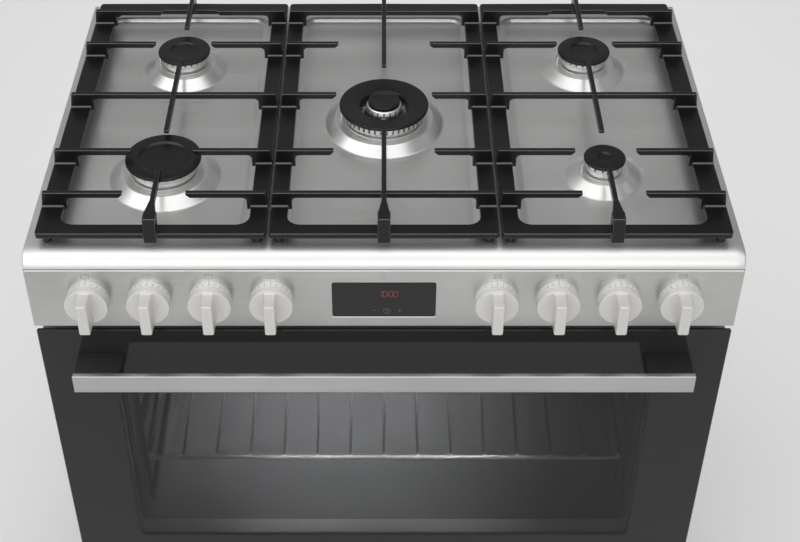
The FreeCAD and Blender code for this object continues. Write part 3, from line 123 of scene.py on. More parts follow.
# 1 for the rays that show the backdrop: straight from the camera, off gloss and through glass
def shownRays(tree):
    path = newNode(tree, "LightPath").outputs
    shown = path["Is Camera Ray"]
    for ray in ("Is Glossy Ray", "Is Transmission Ray"):
        shown = mathNode(tree, "MAXIMUM", shown, path[ray])
    return shown


def setWorld(settings):
    world = bpy.data.worlds.new("studio")
    bpy.context.scene.world = world
    world.use_nodes = True
    tree = world.node_tree
    colour = mixNode(tree, shownRays(tree), settings["ambient"], settings["colour"])
    tree.links.new(colour, tree.nodes["Background"].inputs["Color"])


# Corner numbers of the four-sided faces between neighbouring points of a grid
def gridFaces(rows, columns, closeRows=False, closeColumns=False):
    i = np.arange(rows if closeRows else rows - 1)[:, None]
    j = np.arange(columns if closeColumns else columns - 1)[None, :]
    ii, jj = (i + 1) % rows, (j + 1) % columns
    corners = [i * columns + j, ii * columns + j, ii * columns + jj, i * columns + jj]
    return np.stack(np.broadcast_arrays(*corners), axis=-1).reshape(-1, 4)


# A line through corners (a, b, radius) where each corner is swapped for an arc of its radius, which
# starts and ends radius * tan(half the turn) away from it, at most a share of the shorter side
def arcedPath(corners, steps=5, share=0.49):
    spots = np.array([corner[:2] for corner in corners], float)
    line = [spots[:1]]
    for k in range(1, len(spots) - 1):
        before, here, after = spots[k - 1:k + 2]
        inWay, outWay = here - before, after - here
        inLong, outLong = np.linalg.norm(inWay), np.linalg.norm(outWay)
        inWay, outWay = inWay / inLong, outWay / outLong
        side = inWay[0] * outWay[1] - inWay[1] * outWay[0]
        bend = math.atan2(side, float(inWay @ outWay))
        half = math.tan(abs(bend) / 2)
        radius = min(corners[k][2], share * min(inLong, outLong) / max(half, smallest["length"]))
        if radius < smallest["length"] or abs(bend) < smallest["turn"]:
            line.append(here[None])
            continue
        start = here - inWay * radius * half
        lean = np.array([-inWay[1], inWay[0]]) * math.copysign(1, bend)
        t = np.linspace(0, bend, steps + 1)[:, None]
        outward = -lean * np.cos(t) + inWay * np.sin(np.abs(t))
        line.append(start + lean * radius + outward * radius)
    line.append(spots[-1:])
    return np.vstack(line)


# Every profile point (radius, height) carried once round an axis: (r cos t, r sin t, h).
# bulge(t, r, h) may give another radius, for slots and flats
def ringPoints(profile, spot, columns=96, axis="z", low=0.0, bulge=None):
    t = np.linspace(0, turn, columns, endpoint=False) if np.isscalar(columns) else columns
    t, r, h = t[None, :], profile[:, :1], profile[:, 1:2]
    r = bulge(t, r, h) if bulge else r
    across, other = spot[0] + r * np.cos(t), spot[1] + r * np.sin(t)
    return gridPoints(across, other, low + h) if axis == "z" else gridPoints(across, low - h, other)


# Joins grids of points into one mesh. Each sheet is (points, closeRows, closeColumns[, keep])
def makeMesh(name, sheets, closed=True):
    points, faces, first = [], [], 0
    for grid, closeRows, closeColumns, *keep in sheets:
        rows, columns = grid.shape[:2]
        corners = gridFaces(rows, columns, closeRows, closeColumns)
        if keep:
            corners = corners[keep[0].reshape(-1)]
        points.append(grid.reshape(-1, 3))
        faces.append(corners + first)
        first += rows * columns
    points, faces = np.vstack(points), np.vstack(faces)
    data = bpy.data.meshes.new(name)
    data.vertices.add(len(points))
    data.vertices.foreach_set("co", points.astype(np.float32).ravel())
    data.loops.add(faces.size)
    data.loops.foreach_set("vertex_index", faces.astype(np.int32).ravel())
    data.polygons.add(len(faces))
    data.polygons.foreach_set("loop_start", np.arange(0, faces.size, 4, dtype=np.int32))
    data.update(calc_edges=True)
    data.validate()
    work = bmesh.new()
    work.from_mesh(data)
    bmesh.ops.remove_doubles(work, verts=work.verts, dist=smallest["merge"])
    bmesh.ops.dissolve_degenerate(work, edges=work.edges, dist=smallest["length"])
    loose = [v for v in work.verts if not v.link_faces]
    bmesh.ops.delete(work, geom=loose, context="VERTS")
    if closed:
        bmesh.ops.recalc_face_normals(work, faces=work.faces)
    work.to_mesh(data)
    work.free()
    return data


# Puts a finished mesh in the scene as a piece of the cooker
def addPiece(name, data, material, body, slot, replaces=(), smooth=True, crease=38):
    thing = bpy.data.objects.new(name, data)
    bpy.context.scene.collection.objects.link(thing)
    data.materials.clear()
    data.materials.append(material)
    if smooth:
        data.shade_smooth()
        if crease:
            data.set_sharp_from_angle(angle=math.radians(crease))
    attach(thing, body)
    if replaces:
        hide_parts(*replaces)
    return thing


def addSheets(name, sheets, material, body, slot, replaces=(), closed=True, **more):
    return addPiece(name, makeMesh(name, sheets, closed), material, body, slot, replaces, **more)


def addModifier(thing, kind, **settings):
    modifier = thing.modifiers.new(kind.lower(), kind)
    for key, value in settings.items():
        setattr(modifier, key, value)


# One number stands for three: a grey, or an even stretch
def three(value):
    return (value,) * 3 if np.isscalar(value) else tuple(value)


# Sets sockets by name: a socket is linked, anything else becomes the socket's own value
def setInputs(tree, node, inputs):
    for name, value in inputs.items():
        if isinstance(value, bpy.types.NodeSocket):
            tree.links.new(value, node.inputs[name])
        else:
            node.inputs[name].default_value = value


def newNode(tree, kind, inputs=None, **settings):
    node = tree.nodes.new("ShaderNode" + kind)
    for key, value in settings.items():
        setattr(node, key, value)
    setInputs(tree, node, inputs or {})
    return node


def dress(material, inputs):
    setInputs(material.node_tree, material.node_tree.nodes["Principled BSDF"], inputs)
    return material


def startMaterial(name, colour, metallic=0.0, roughness=0.5, **more):
    material = bpy.data.materials.new(name)
    material.use_nodes = True
    dress(material, {
        "Base Color": (*three(colour), 1), "Metallic": metallic, "Roughness": roughness, **more})
    return material, material.node_tree


def mathNode(tree, operation, *values):
    return newNode(tree, "Math", dict(enumerate(values)), operation=operation).outputs[0]


# The square root of a * a + b * b
def lengthNode(tree, a, b):
    squares = [mathNode(tree, "MULTIPLY", side, side) for side in (a, b)]
    return mathNode(tree, "SQRT", mathNode(tree, "ADD", *squares))


def blendNode(tree, a, b, share=0.6):
    return mathNode(tree, "MULTIPLY_ADD", a, share, mathNode(tree, "MULTIPLY", b, 1 - share))


def objectPlaces(tree, stretch=1):
    where = newNode(tree, "TexCoord").outputs["Object"]
    return newNode(tree, "Mapping", {"Vector": where, "Scale": three(stretch)}).outputs["Vector"]


# The x, y and z of the place in the piece, as three sockets
def objectAxes(tree):
    return newNode(tree, "SeparateXYZ", {0: newNode(tree, "TexCoord").outputs["Object"]}).outputs


def noiseNode(tree, stretch, detail=3.0, rough=0.55):
    inputs = {"Scale": 1.0, "Detail": detail, "Roughness": rough, "Vector": objectPlaces(tree, stretch)}
    return newNode(tree, "TexNoise", inputs).outputs["Fac"]


def cellNode(tree, scale, output):
    return newNode(tree, "TexVoronoi", {"Scale": scale, "Vector": objectPlaces(tree)}).outputs[output]


# Maps a pattern's middle values on to the range low to high
def spread(tree, value, low, high, fromLow=0.3, fromHigh=0.7):
    inputs = {"Value": value, "From Min": fromLow, "From Max": fromHigh, "To Min": low, "To Max": high}
    return newNode(tree, "MapRange", inputs).outputs["Result"]


# A colour that runs from dark to light with the factor
def mixNode(tree, factor, dark, light):
    ends = [end if isinstance(end, bpy.types.NodeSocket) else (*three(end), 1) for end in (dark, light)]
    mix = newNode(tree, "Mix", {"Factor": factor, "A": ends[0], "B": ends[1]}, data_type="RGBA")
    return mix.outputs["Result"]


def bumpNode(tree, height, strength, distance):
    return newNode(tree, "Bump", {
        "Height": height, "Strength": strength, "Distance": distance}).outputs["Normal"]


# where the painted glow above the dials falls: first dial's x, pitch, last step, height, reach and the
# glow's colour
paintedGlowForm = {"first": 0.142, "pitch": 0.0774, "last": 3, "height": 0.858, "reach": 0.036,
              "bright": (0.92, 0.92, 0.91)}


# Painted glow above each dial: lighter metal that stands in for the lit dial ring's reflection in the
# panel.
# With d = distance to the nearest spot / reach, the share of the bright shade is (1 - d) squared
def paintedGlowSpots(tree, colour, form):
    axes, work = objectAxes(tree), partial(mathNode, tree)
    side = work("SUBTRACT", work("ABSOLUTE", axes["X"]), form["first"])
    step = work("ROUND", work("DIVIDE", side, form["pitch"]))
    step = work("MINIMUM", work("MAXIMUM", step, 0.0), form["last"])
    x = work("SUBTRACT", side, work("MULTIPLY", step, form["pitch"]))
    z = work("SUBTRACT", axes["Z"], form["height"])
    away = work("DIVIDE", lengthNode(tree, x, z), form["reach"])
    near = work("MAXIMUM", work("SUBTRACT", 1.0, away), 0.0)
    return mixNode(tree, work("MULTIPLY", near, near), colour, form["bright"])


# Fine lines along x: noise squeezed across them, with slow smudges over it, and a painted glow above the
# dials if one is given
def brushedMetal(name, dark, light, roughness, scratch=0.00002, metallic=1.0, slow=3, paintedGlow=None):
    middle = [(a + b) / 2 for a, b in zip(three(dark), three(light))]
    material, tree = startMaterial(name, middle, metallic, roughness, Anisotropic=0.55)
    line, across = 6, 1900
    lines = noiseNode(tree, (line, across, across), detail=4)
    smudge = noiseNode(tree, slow, detail=3)
    both = blendNode(tree, smudge, lines)
    colour = mixNode(tree, spread(tree, both, 0, 1, 0.36, 0.64), dark, light)
    # the glints run across the lines: tangent = normal x line direction, which is a little off the axis
    # so that the tangent isn't zero on the faces across the lines
    tangent = newNode(tree, "VectorMath", {
        0: newNode(tree, "NewGeometry").outputs["Normal"], 1: (1, 0.02, 0.03)}, operation="CROSS_PRODUCT")
    return dress(material, {
        "Base Color": paintedGlowSpots(tree, colour, paintedGlow) if paintedGlow else colour,
        "Roughness": spread(tree, both, roughness - 0.05, roughness + 0.06, 0.35, 0.65),
        "Normal": bumpNode(tree, lines, 0.15, scratch), "Tangent": tangent.outputs[0]})


# Metal with faint turning lines and a little grime, for heads, wires, brass and beads
def turnedMetal(name, colour, roughness):
    material, tree = startMaterial(name, colour, 1.0, roughness)
    lines, grime = noiseNode(tree, (90, 90, 2600), detail=3), noiseNode(tree, 60, detail=5)
    darker = [part * 0.86 for part in three(colour)]
    return dress(material, {
        "Base Color": mixNode(tree, spread(tree, grime, 0, 1), darker, colour),
        "Roughness": spread(tree, grime, roughness + 0.08, roughness - 0.04),
        "Normal": bumpNode(tree, lines, 0.03, 0.000004)})


# Enamel, paint, plastic, rubber or ink: a fine grain in the surface and a slow change of shade
def grainedCoat(name, dark, light, roughness, grain=900, depth=0.00006, strength=0.35, metallic=0.0,
                **more):
    material, tree = startMaterial(name, light, metallic, roughness, **more)
    fine, slow = noiseNode(tree, grain, detail=2), noiseNode(tree, 7, detail=4)
    both = blendNode(tree, fine, slow)
    return dress(material, {
        "Base Color": mixNode(tree, spread(tree, slow, 0, 1), dark, light),
        "Roughness": spread(tree, both, roughness - 0.06, roughness + 0.08),
        "Normal": bumpNode(tree, fine, strength, depth)})


# Matt enamelled iron: sand-cast grain and a few shallow pits
def castIron():
    material, tree = startMaterial("castIron", 0.012, 0.0, 0.38, **{"Specular IOR Level": 0.32})
    grain, slow = noiseNode(tree, 520, detail=6, rough=0.65), noiseNode(tree, 16, detail=4)
    pits = spread(tree, cellNode(tree, 420, "Distance"), 0, 1, 0.0, 0.25)
    shade = spread(tree, slow, 0, 1)
    return dress(material, {
        "Base Color": mixNode(tree, shade, (0.004, 0.004, 0.0039), (0.007, 0.007, 0.0068)),
        "Roughness": spread(tree, grain, 0.27, 0.37),
        "Normal": bumpNode(tree, blendNode(tree, pits, grain, 0.4), 0.5, 0.00012)})


# Galvanised sheet: flat crystals of slightly different grey and gloss
def zincSheet():
    material, tree = startMaterial("zincSheet", (0.50, 0.51, 0.52), 1.0, 0.42)
    shade = newNode(tree, "SeparateColor", {"Color": cellNode(tree, 70, "Color")}).outputs
    return dress(material, {
        "Base Color": mixNode(tree, shade[0], (0.40, 0.41, 0.42), (0.58, 0.59, 0.60)),
        "Roughness": spread(tree, shade[1], 0.32, 0.55, 0, 1),
        "Normal": bumpNode(tree, noiseNode(tree, 700), 0.15, 0.00004)})


windowForm = {"middle": 0.5233, "halfWide": 0.361, "halfHigh": 0.1668, "corner": 0.012, "dots": 0.007,
              "pitch": 0.0017, "clear": 0.42}


# Black printed glass with a clearer window, whose edge fades through rows of small dots
def doorGlass(form):
    material, tree = startMaterial(
        "doorGlass", (0.023, 0.023, 0.0232), 0.0, 0.035, **{"IOR": 1.5, "Specular IOR Level": 0.22})
    axes, work = objectAxes(tree), partial(mathNode, tree)
    # signed distance to a rounded rectangle: outside length plus inside depth, less the corner
    x = work("SUBTRACT", work("ABSOLUTE", axes["X"]), form["halfWide"] - form["corner"])
    z = work("SUBTRACT", work("ABSOLUTE", work("SUBTRACT", axes["Z"], form["middle"])),
             form["halfHigh"] - form["corner"])
    length = lengthNode(tree, work("MAXIMUM", x, 0.0), work("MAXIMUM", z, 0.0))
    inside = work("MINIMUM", work("MAXIMUM", x, z), 0.0)
    distance = work("SUBTRACT", work("ADD", length, inside), form["corner"])
    # dots: a product of two waves, cut at a level that rises towards the clear side
    waves = [work("SINE", work("MULTIPLY", axes[axis], turn / form["pitch"])) for axis in ("X", "Z")]
    height = work("MULTIPLY", work("MULTIPLY", *waves), 0.5)
    level = work("DIVIDE", distance, form["dots"])
    printed = work("GREATER_THAN", work("ADD", height, level), -0.5)
    solid = work("MAXIMUM", printed, work("GREATER_THAN", distance, 0.0))
    return dress(material, {
        "Base Color": mixNode(tree, solid, 0.034, (0.024, 0.024, 0.0242)),
        "Roughness": spread(tree, noiseNode(tree, 14, detail=5), 0.03, 0.07),
        "Alpha": spread(tree, solid, form["clear"], 1.0, 0, 1)})


def clearGlass(name, colour, see):
    material, tree = startMaterial(name, colour, 0.0, 0.04, Alpha=see, IOR=1.5)
    smear = noiseNode(tree, 25, detail=5)
    return dress(material, {
        "Base Color": mixNode(tree, smear, colour, [part * 1.3 for part in three(colour)]),
        "Roughness": spread(tree, smear, 0.03, 0.10)})


# Oven enamel: dark grey glass coat with pale specks
def speckledEnamel():
    material, tree = startMaterial(
        "ovenEnamel", (0.05, 0.05, 0.052), 0.0, 0.3, **{"Coat Weight": 0.4})
    specks = spread(tree, cellNode(tree, 260, "Distance"), 1, 0, 0.10, 0.16)
    return dress(material, {
        "Base Color": mixNode(tree, specks, (0.045, 0.046, 0.048), (0.35, 0.35, 0.36)),
        "Normal": bumpNode(tree, noiseNode(tree, 300), 0.2, 0.00005)})


# Dark coated wire with a painted highlight: it changes to a near-white matt colour at the shelf's front
# edge
def shelfCoat(coat, paintedHighlight, edge):
    material, tree = startMaterial("shelfWire", coat, 0.0, 0.35)
    front = spread(tree, objectAxes(tree)["Y"], 1, 0, edge, edge + 0.004)
    return dress(material, {
        "Base Color": mixNode(tree, front, coat, paintedHighlight),
        "Roughness": spread(tree, noiseNode(tree, 40, detail=4), 0.26, 0.46)})


# Lit segments of slightly uneven brightness
def glowing(name, colour, strength):
    material, tree = startMaterial(name, colour, 0.0, 0.5, **{"Emission Strength": strength})
    flicker = spread(tree, noiseNode(tree, 900, detail=1), 0, 1)
    shade = mixNode(tree, flicker, [part * 0.8 for part in three(colour)], colour)
    return dress(material, {"Base Color": shade, "Emission Color": shade})


print("materials")
steel = brushedMetal("brushedSteel", (0.64, 0.64, 0.632), (0.70, 0.70, 0.69), 0.32, scratch=0.00001,
                     metallic=0.86)
panelSteel = brushedMetal("panelSteel", (0.42, 0.42, 0.41), (0.55, 0.55, 0.54), 0.36, slow=5)
# the dial panel carries the painted glow above each dial
dialSteel = brushedMetal("dialSteel", (0.42, 0.42, 0.41), (0.55, 0.55, 0.54), 0.36, slow=5,
                         paintedGlow=paintedGlowForm)
handleMetal = brushedMetal("handleMetal", 0.42, 0.50, 0.30)
burnerMetal = turnedMetal("burnerMetal", (0.76, 0.76, 0.75), 0.40)
brightMetal = turnedMetal("brightMetal", 0.80, 0.12)
iron = castIron()
# A painted highlight: a lighter, glossier copy of the cast iron for the pan supports' sloped faces,
# rounded edges and welds, so that they show bright lines
ironPaintedHighlight = grainedCoat("ironPaintedHighlight", (0.010, 0.010, 0.0098), (0.014, 0.014, 0.0137), 0.26, grain=700,
                       depth=0.00003, strength=0.2, **{"Specular IOR Level": 1.0})
capEnamel = grainedCoat("capEnamel", 0.004, 0.006, 0.30, grain=1500, depth=0.00003, strength=0.2,
                        **{"Specular IOR Level": 0.36})
knobMetal = grainedCoat("knobMetal", (0.60, 0.59, 0.57), (0.65, 0.64, 0.62), 0.36, grain=2200,
                        depth=0.00002, strength=0.15, metallic=0.25)
ringMetal = grainedCoat("ringMetal", (0.67, 0.66, 0.635), (0.73, 0.72, 0.695), 0.34, grain=2200,
                        depth=0.00002, strength=0.15, metallic=0.25)
displayGlass = grainedCoat("displayGlass", (0.008, 0.008, 0.0078), (0.012, 0.012, 0.0117), 0.12, grain=60,
                           depth=0.00001, strength=0.05, **{"Specular IOR Level": 0.4})
blackPlastic = grainedCoat("blackPlastic", 0.014, 0.021, 0.42)
sidePaint = grainedCoat("sidePaint", 0.30, 0.36, 0.42, grain=420, depth=0.00005, metallic=0.25)
framePaint = grainedCoat("framePaint", 0.24, 0.30, 0.42, grain=420, depth=0.00005, metallic=0.3)
zinc = zincSheet()
ovenEnamel = speckledEnamel()
chromeWire = turnedMetal("chromeWire", 0.72, 0.18)
darkWire = turnedMetal("darkWire", 0.10, 0.45)
# the near-white at the shelf's front edge is a painted highlight on the front wire
shelfWire = shelfCoat((0.08, 0.08, 0.081), 0.90, -0.2080)
elementSteel = turnedMetal("elementSteel", (0.13, 0.13, 0.135), 0.40)
brass = turnedMetal("brass", (0.70, 0.52, 0.24), 0.30)
lampGlass = clearGlass("lampGlass", (0.55, 0.55, 0.52), 0.75)
innerGlass = clearGlass("innerGlass", (0.03, 0.032, 0.033), 0.16)
sealRubber = grainedCoat("sealRubber", 0.03, 0.05, 0.75, grain=700)
footPlastic = grainedCoat("footPlastic", 0.018, 0.03, 0.5)
greyInk = grainedCoat("greyInk", 0.21, 0.27, 0.6)
printedGlass = doorGlass(windowForm)
redDigits = glowing("redDigits", (0.22, 0.03, 0.055), 0.22)
dimIcons = glowing("dimIcons", 0.10, 0.30)

nodeMaterials = {  # by how the nodes' names start
    steel: "hob_top", dialSteel: "control_panel", panelSteel: "drawer_front", handleMetal: "handle_bar",
    iron: "pan_support", burnerMetal: "burner_cups burner_head", capEnamel: "burner_cap",
    knobMetal: "knob_", ringMetal: "dial_rings", displayGlass: "clock_display",
    brass: "gas_rail tap_spindle", blackPlastic: "oven_switches fan_motor handle_brackets",
    sidePaint: "side_panel", framePaint: "front_frame door_frame", sealRubber: "door_seal",
    zinc: "back_panel base_tray drawer_runners drawer_box", ovenEnamel: "oven_cavity fan_cover",
    chromeWire: "hinge_arms convection_fan", darkWire: "shelf_ladders", shelfWire: "wire_shelf",
    elementSteel: "grill_element", lampGlass: "oven_lamp", printedGlass: "door_outer_glass",
    innerGlass: "door_inner_glass", footPlastic: "foot_",
}
for name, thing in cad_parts.items():
    thing.data.materials.clear()
    for material, starts in nodeMaterials.items():
        if name.startswith(tuple(starts.split())):
            thing.data.materials.append(material)


print("hob sheet")
hobSheet = {
    "halfWide": 0.45, "edge": 0.0018, "thick": 0.0012,
    "roll": 0.020, "wide": 0.045, "ease": 0.30, "tuck": 0.07,  # the front roll; ease and tuck are angles
    "depth": 0.006, "slope": 0.013, "steep": 0.0076, "soft": 0.4, "corner": 0.029, "blend": 0.03,
    "wells": ((-0.426, -0.1735), (-0.1275, 0.1275), (0.1735, 0.426)), "span": (-0.233, 0.292),
    "fine": 0.0013, "coarse": 0.011, "before": 0.003, "past": 0.002,
    "flare": 0.005, "footRound": 0.009, "shelfRound": 0.004, "mouthGap": 0.0005, "mouthDeep": 0.003,
    "lift": 0.00003, "overlap": 0.007, "columns": 112,
}


# Lines at an even coarse step, with fine ones from just before each edge to past its round corner
def mixedLines(low, high, edges, form):
    fine, reach, closest = form["fine"], form["corner"] + form["past"], 2e-4
    lines = [np.linspace(low, high, int((high - low) / form["coarse"]) + 1)]
    for edge, way in edges:
        ends = sorted((edge - way * form["before"], edge + way * reach))
        lines = [line[(line < ends[0] - fine) | (line > ends[1] + fine)] for line in lines]
        lines.append(np.linspace(*ends, int(reach / fine) + 2))
    lines = np.sort(np.concatenate(lines + [[low, high]]))
    return lines[np.append(True, np.diff(lines) > closest)]


# Depth of a well below the rim: a ramp with round ends, over the slope's width inside a rounded
# rectangle, and over a shorter width at the rear wall. With e = soft and s = (1 + e) * distance inside /
# slope, the share of the depth is s * s / 2e up to e, then s - e / 2 up to 1, then the first part mirrored
def wellDepth(x, y, well, form):
    halfX, halfY = (well[1] - well[0]) / 2, (form["span"][1] - form["span"][0]) / 2
    u = np.abs(x - (well[0] + well[1]) / 2) - halfX + form["corner"]
    v = np.abs(y - (form["span"][0] + form["span"][1]) / 2) - halfY + form["corner"]
    outside = np.hypot(np.maximum(u, 0), np.maximum(v, 0)) + np.minimum(np.maximum(u, v), 0)
    inside, soft = form["corner"] - outside, form["soft"]
    rear = np.clip((v - u) / form["blend"] + 0.5, 0, 1) * (y > 0)
    slope = form["slope"] + (form["steep"] - form["slope"]) * rear
    s = np.clip(inside / slope, 0, 1) * (1 + soft)
    ramp = np.where(s < soft, s * s / (2 * soft), s - soft / 2)
    end = np.maximum(s - 1, 0)
    return form["depth"] * (ramp - end * end / (2 * soft))


# The sheet follows a line in y and z (the front roll, the top, the rear edge), moved down by the wells;
# at each side it turns down round the edge, then runs to the skirt's lower edge
def hobGrid(form):
    edge, roll, low = form["edge"], form["roll"], place["panelTop"]
    middleY, topZ, back = place["front"] + roll, place["hobTop"], place["back"]
    # the roll: an easy bend of radius wide up to angle ease, then a tighter one down to the panel
    wide, ease, tuck = form["wide"], form["ease"], form["tuck"]
    last = quarter - tuck
    tight = roll * (1 - math.sin(tuck)) - wide * (1 - math.cos(ease))
    tight /= math.cos(ease) - math.cos(last)
    lean = np.concatenate([np.linspace(last, ease, 20), np.linspace(ease, 0, 7)[1:]])
    near, over = np.minimum(lean, ease), np.maximum(lean, ease)
    run = wide * np.sin(near) + tight * (np.sin(over) - math.sin(ease))
    drop = wide * (1 - np.cos(near)) + tight * (math.cos(ease) - np.cos(over))
    flatFrom = place["front"] + roll * (1 - math.cos(tuck)) + run[0]
    lip = np.array([[middleY - roll + 0.0010, low + 0.00005], [middleY - roll + 0.0003, low + 0.0004]])
    rollLine = np.stack([flatFrom - run, topZ - drop], axis=1)
    ys = mixedLines(flatFrom, back - edge, zip(form["span"], (1, -1)), form)[1:]
    top = np.stack([ys, np.full_like(ys, topZ)], axis=1)
    t = np.linspace(quarter, 0, 6)[1:]
    rear = np.stack([back - edge + edge * np.cos(t), topZ - edge + edge * np.sin(t)], axis=1)
    skirt = np.array([[back, (topZ + low) / 2], [back, low]])
    line = np.vstack([lip, rollLine, top, rear, skirt])
    # the way from each point of the line to the inside of the sheet's bend
    inward = np.vstack([
        np.tile([1.0, 0.0], (2, 1)), np.stack([np.sin(lean), -np.cos(lean)], axis=1),
        np.tile([0.0, -1.0], (len(ys), 1)), (np.array([back - edge, topZ - edge]) - rear) / edge,
        np.tile([-1.0, 0.0], (2, 1))])
    edges = [(side, way) for well in form["wells"] for side, way in zip(well, (1, -1))]
    xs = mixedLines(-form["halfWide"] + edge, form["halfWide"] - edge, edges, form)
    y, z = line[:, :1], line[:, 1:]
    onTop = (line[:, 1] == topZ)[:, None]
    for well in form["wells"]:
        z = z - np.where(onTop, wellDepth(xs[None, :], y, well, form), 0)
    grid = gridPoints(xs, y, z)
    bend = np.linspace(0, quarter, 6)[1:]
    out = form["halfWide"] - edge + edge * np.sin(bend)
    drop = line[:, None, :] + inward[:, None, :] * (edge * (1 - np.cos(bend)))[None, :, None]
    foot = np.stack([np.clip(drop[:, -1, 0], middleY, back - edge), np.full(len(line), low)], axis=1)
    drop = np.concatenate([drop, (drop[:, -1] + foot)[:, None] / 2, foot[:, None]], axis=1)
    out = np.append(out, [form["halfWide"]] * 2)
    right = np.concatenate([np.broadcast_to(out[None, :, None], (len(line), len(out), 1)), drop], axis=2)
    left = right[:, ::-1] * np.array([-1, 1, 1])
    return np.concatenate([left, grid, right], axis=1)


# The raised ring under a burner: a flared foot on the well's floor, a slope up to a flat shelf and a
# turned-in mouth
def domeLine(burner, form):
    low, top = place["wellFloor"] + form["lift"], place["domeTop"]
    mouth = burner["head"] + form["mouthGap"]
    return arcedPath([
        (burner["foot"] + form["flare"], low - 0.0008), (burner["foot"] + form["flare"], low, 0),
        (burner["foot"], low, form["footRound"]), (burner["shelf"], top, form["shelfRound"]),
        (mouth, top, 0.0006), (mouth, top - form["mouthDeep"])], steps=6)


# The sheet is left out under each burner; its lower parts, the skirt and the roll, stay
grid = hobGrid(hobSheet)
middles = (grid[:-1, :-1] + grid[1:, 1:]) / 2
keep = np.ones(middles.shape[:2], bool)
sheets = [(grid, False, False, keep)]
for burner in burners.values():
    away = np.hypot(middles[..., 0] - burner["spot"][0], middles[..., 1] - burner["spot"][1])
    keep &= (away > burner["foot"] - hobSheet["overlap"]) | (middles[..., 2] < place["wellFloor"] - 0.0005)
    ring = ringPoints(domeLine(burner, hobSheet), burner["spot"], hobSheet["columns"])
    sheets.append((ring, False, True))
data = makeMesh("hobSheet", sheets, closed=False)
topPiece = addPiece("hobSheet", data, steel, "cooker", "stainless", ["hob_top"], crease=50)
up = np.empty(len(data.polygons) * 3, np.float32)
data.polygons.foreach_get("normal", up)
if up.reshape(-1, 3)[:, 2].mean() < 0:
    data.flip_normals()
addModifier(topPiece, "SOLIDIFY", thickness=hobSheet["thick"], offset=-1, use_even_offset=True)


print("burners")
headForm = {"wall": 0.006, "neckHigh": 0.0020, "neck": 0.0034, "flare": 0.003, "tall": 0.0159,
            "floor": 0.0025, "slotDeep": 0.0056}
bandForms = {
    "plain": {"flareLow": 0.008, "slotLow": 0.0126, "slot": 0.0016},
    "wok": {"flareLow": 0.0042, "slotLow": 0.0074, "slot": 0.0025, "bore": 0.028},
}


# Middles of the slots round a ring, as angles
def slotMiddles(count):
    return (np.arange(count) + 0.5) * turn / count


# Distance along the rim to the nearest slot's middle: the smallest difference of angles * radius
def slotDistance(t, count, radius):
    away = np.abs((t - slotMiddles(count)[:, None] + math.pi) % turn - math.pi)
    return away.min(axis=0) * radius


# Angles round a ring with a close pair of lines at each slot's edges: middle +- half the slot +- a hair
def slottedAngles(count, radius, width):
    half, hair, gap = width / 2 / radius, 0.00012 / radius, turn / count
    parts = [-half - hair, -half + hair, half - hair, half + hair, gap * 0.35, gap * 0.5, gap * 0.65]
    return np.sort((slotMiddles(count)[:, None] + np.array(parts)[None, :]).ravel() % turn)


# A burner's head: neck, flared band and inner wall as one closed line carried round;
# within a slot's width the band's radius drops by the slot's depth
def headSheet(burner, form, band):
    r, count, slot, slotLow = burner["head"], burner["ports"], band["slot"], band["slotLow"]
    inner, neck, outer = r - form["wall"], r - form["neck"], r + form["flare"]
    bore = band.get("bore", inner / 4)
    line = arcedPath([
        (bore, 0, 0), (neck, 0, 0.0004), (neck, form["neckHigh"], 0.0004),
        (r, form["neckHigh"] + 0.0003, 0.0003), (r, band["flareLow"], 0.003),
        (outer, band["flareLow"] + 0.0028, 0.002), (outer, slotLow, 0), (outer, slotLow + 0.0002, 0),
        (outer, form["tall"], 0), (inner, form["tall"], 0.0003), (inner, form["floor"], 0.001),
        (bore, form["floor"], 0)], steps=3)

    def bulge(t, radius, height):
        inSlot, above = slotDistance(t, count, r) < slot / 2, height > slotLow + 0.0001
        return radius - form["slotDeep"] * (inSlot & above & (radius > inner + 0.001))

    angles = slottedAngles(count, r, slot)
    return (ringPoints(line, burner["spot"], angles, low=place["headLow"], bulge=bulge), True, True)


capForm = {"low": 0.9238, "thick": 0.0045, "edge": 0.0016, "dish": 0.0024, "spigot": 0.002, "gap": 0.0066,
           "wokHole": 0.0328, "wokDip": 0.003, "wall": 0.004,
           "innerLow": 0.0048, "innerFlat": 0.0155, "innerRadius": 0.022, "innerSpigot": 0.0125}


# A plain cap: flat top with a shallow dish in its middle, rounded rim, spigot below
def capSheet(burner, form):
    r, dish, top = burner["cap"], burner["dish"], form["thick"]
    spigot = burner["head"] - form["gap"]
    line = arcedPath([
        (0, top - form["dish"]), (dish - 0.0010, top - form["dish"], 0.0026), (dish + 0.0022, top, 0.0014),
        (r, top, form["edge"]), (r, 0, 0.0012), (spigot, 0, 0.0004), (spigot, -form["spigot"], 0.0004),
        (0, -form["spigot"])], steps=5)
    return (ringPoints(line, burner["spot"], 112, low=form["low"]), False, True)


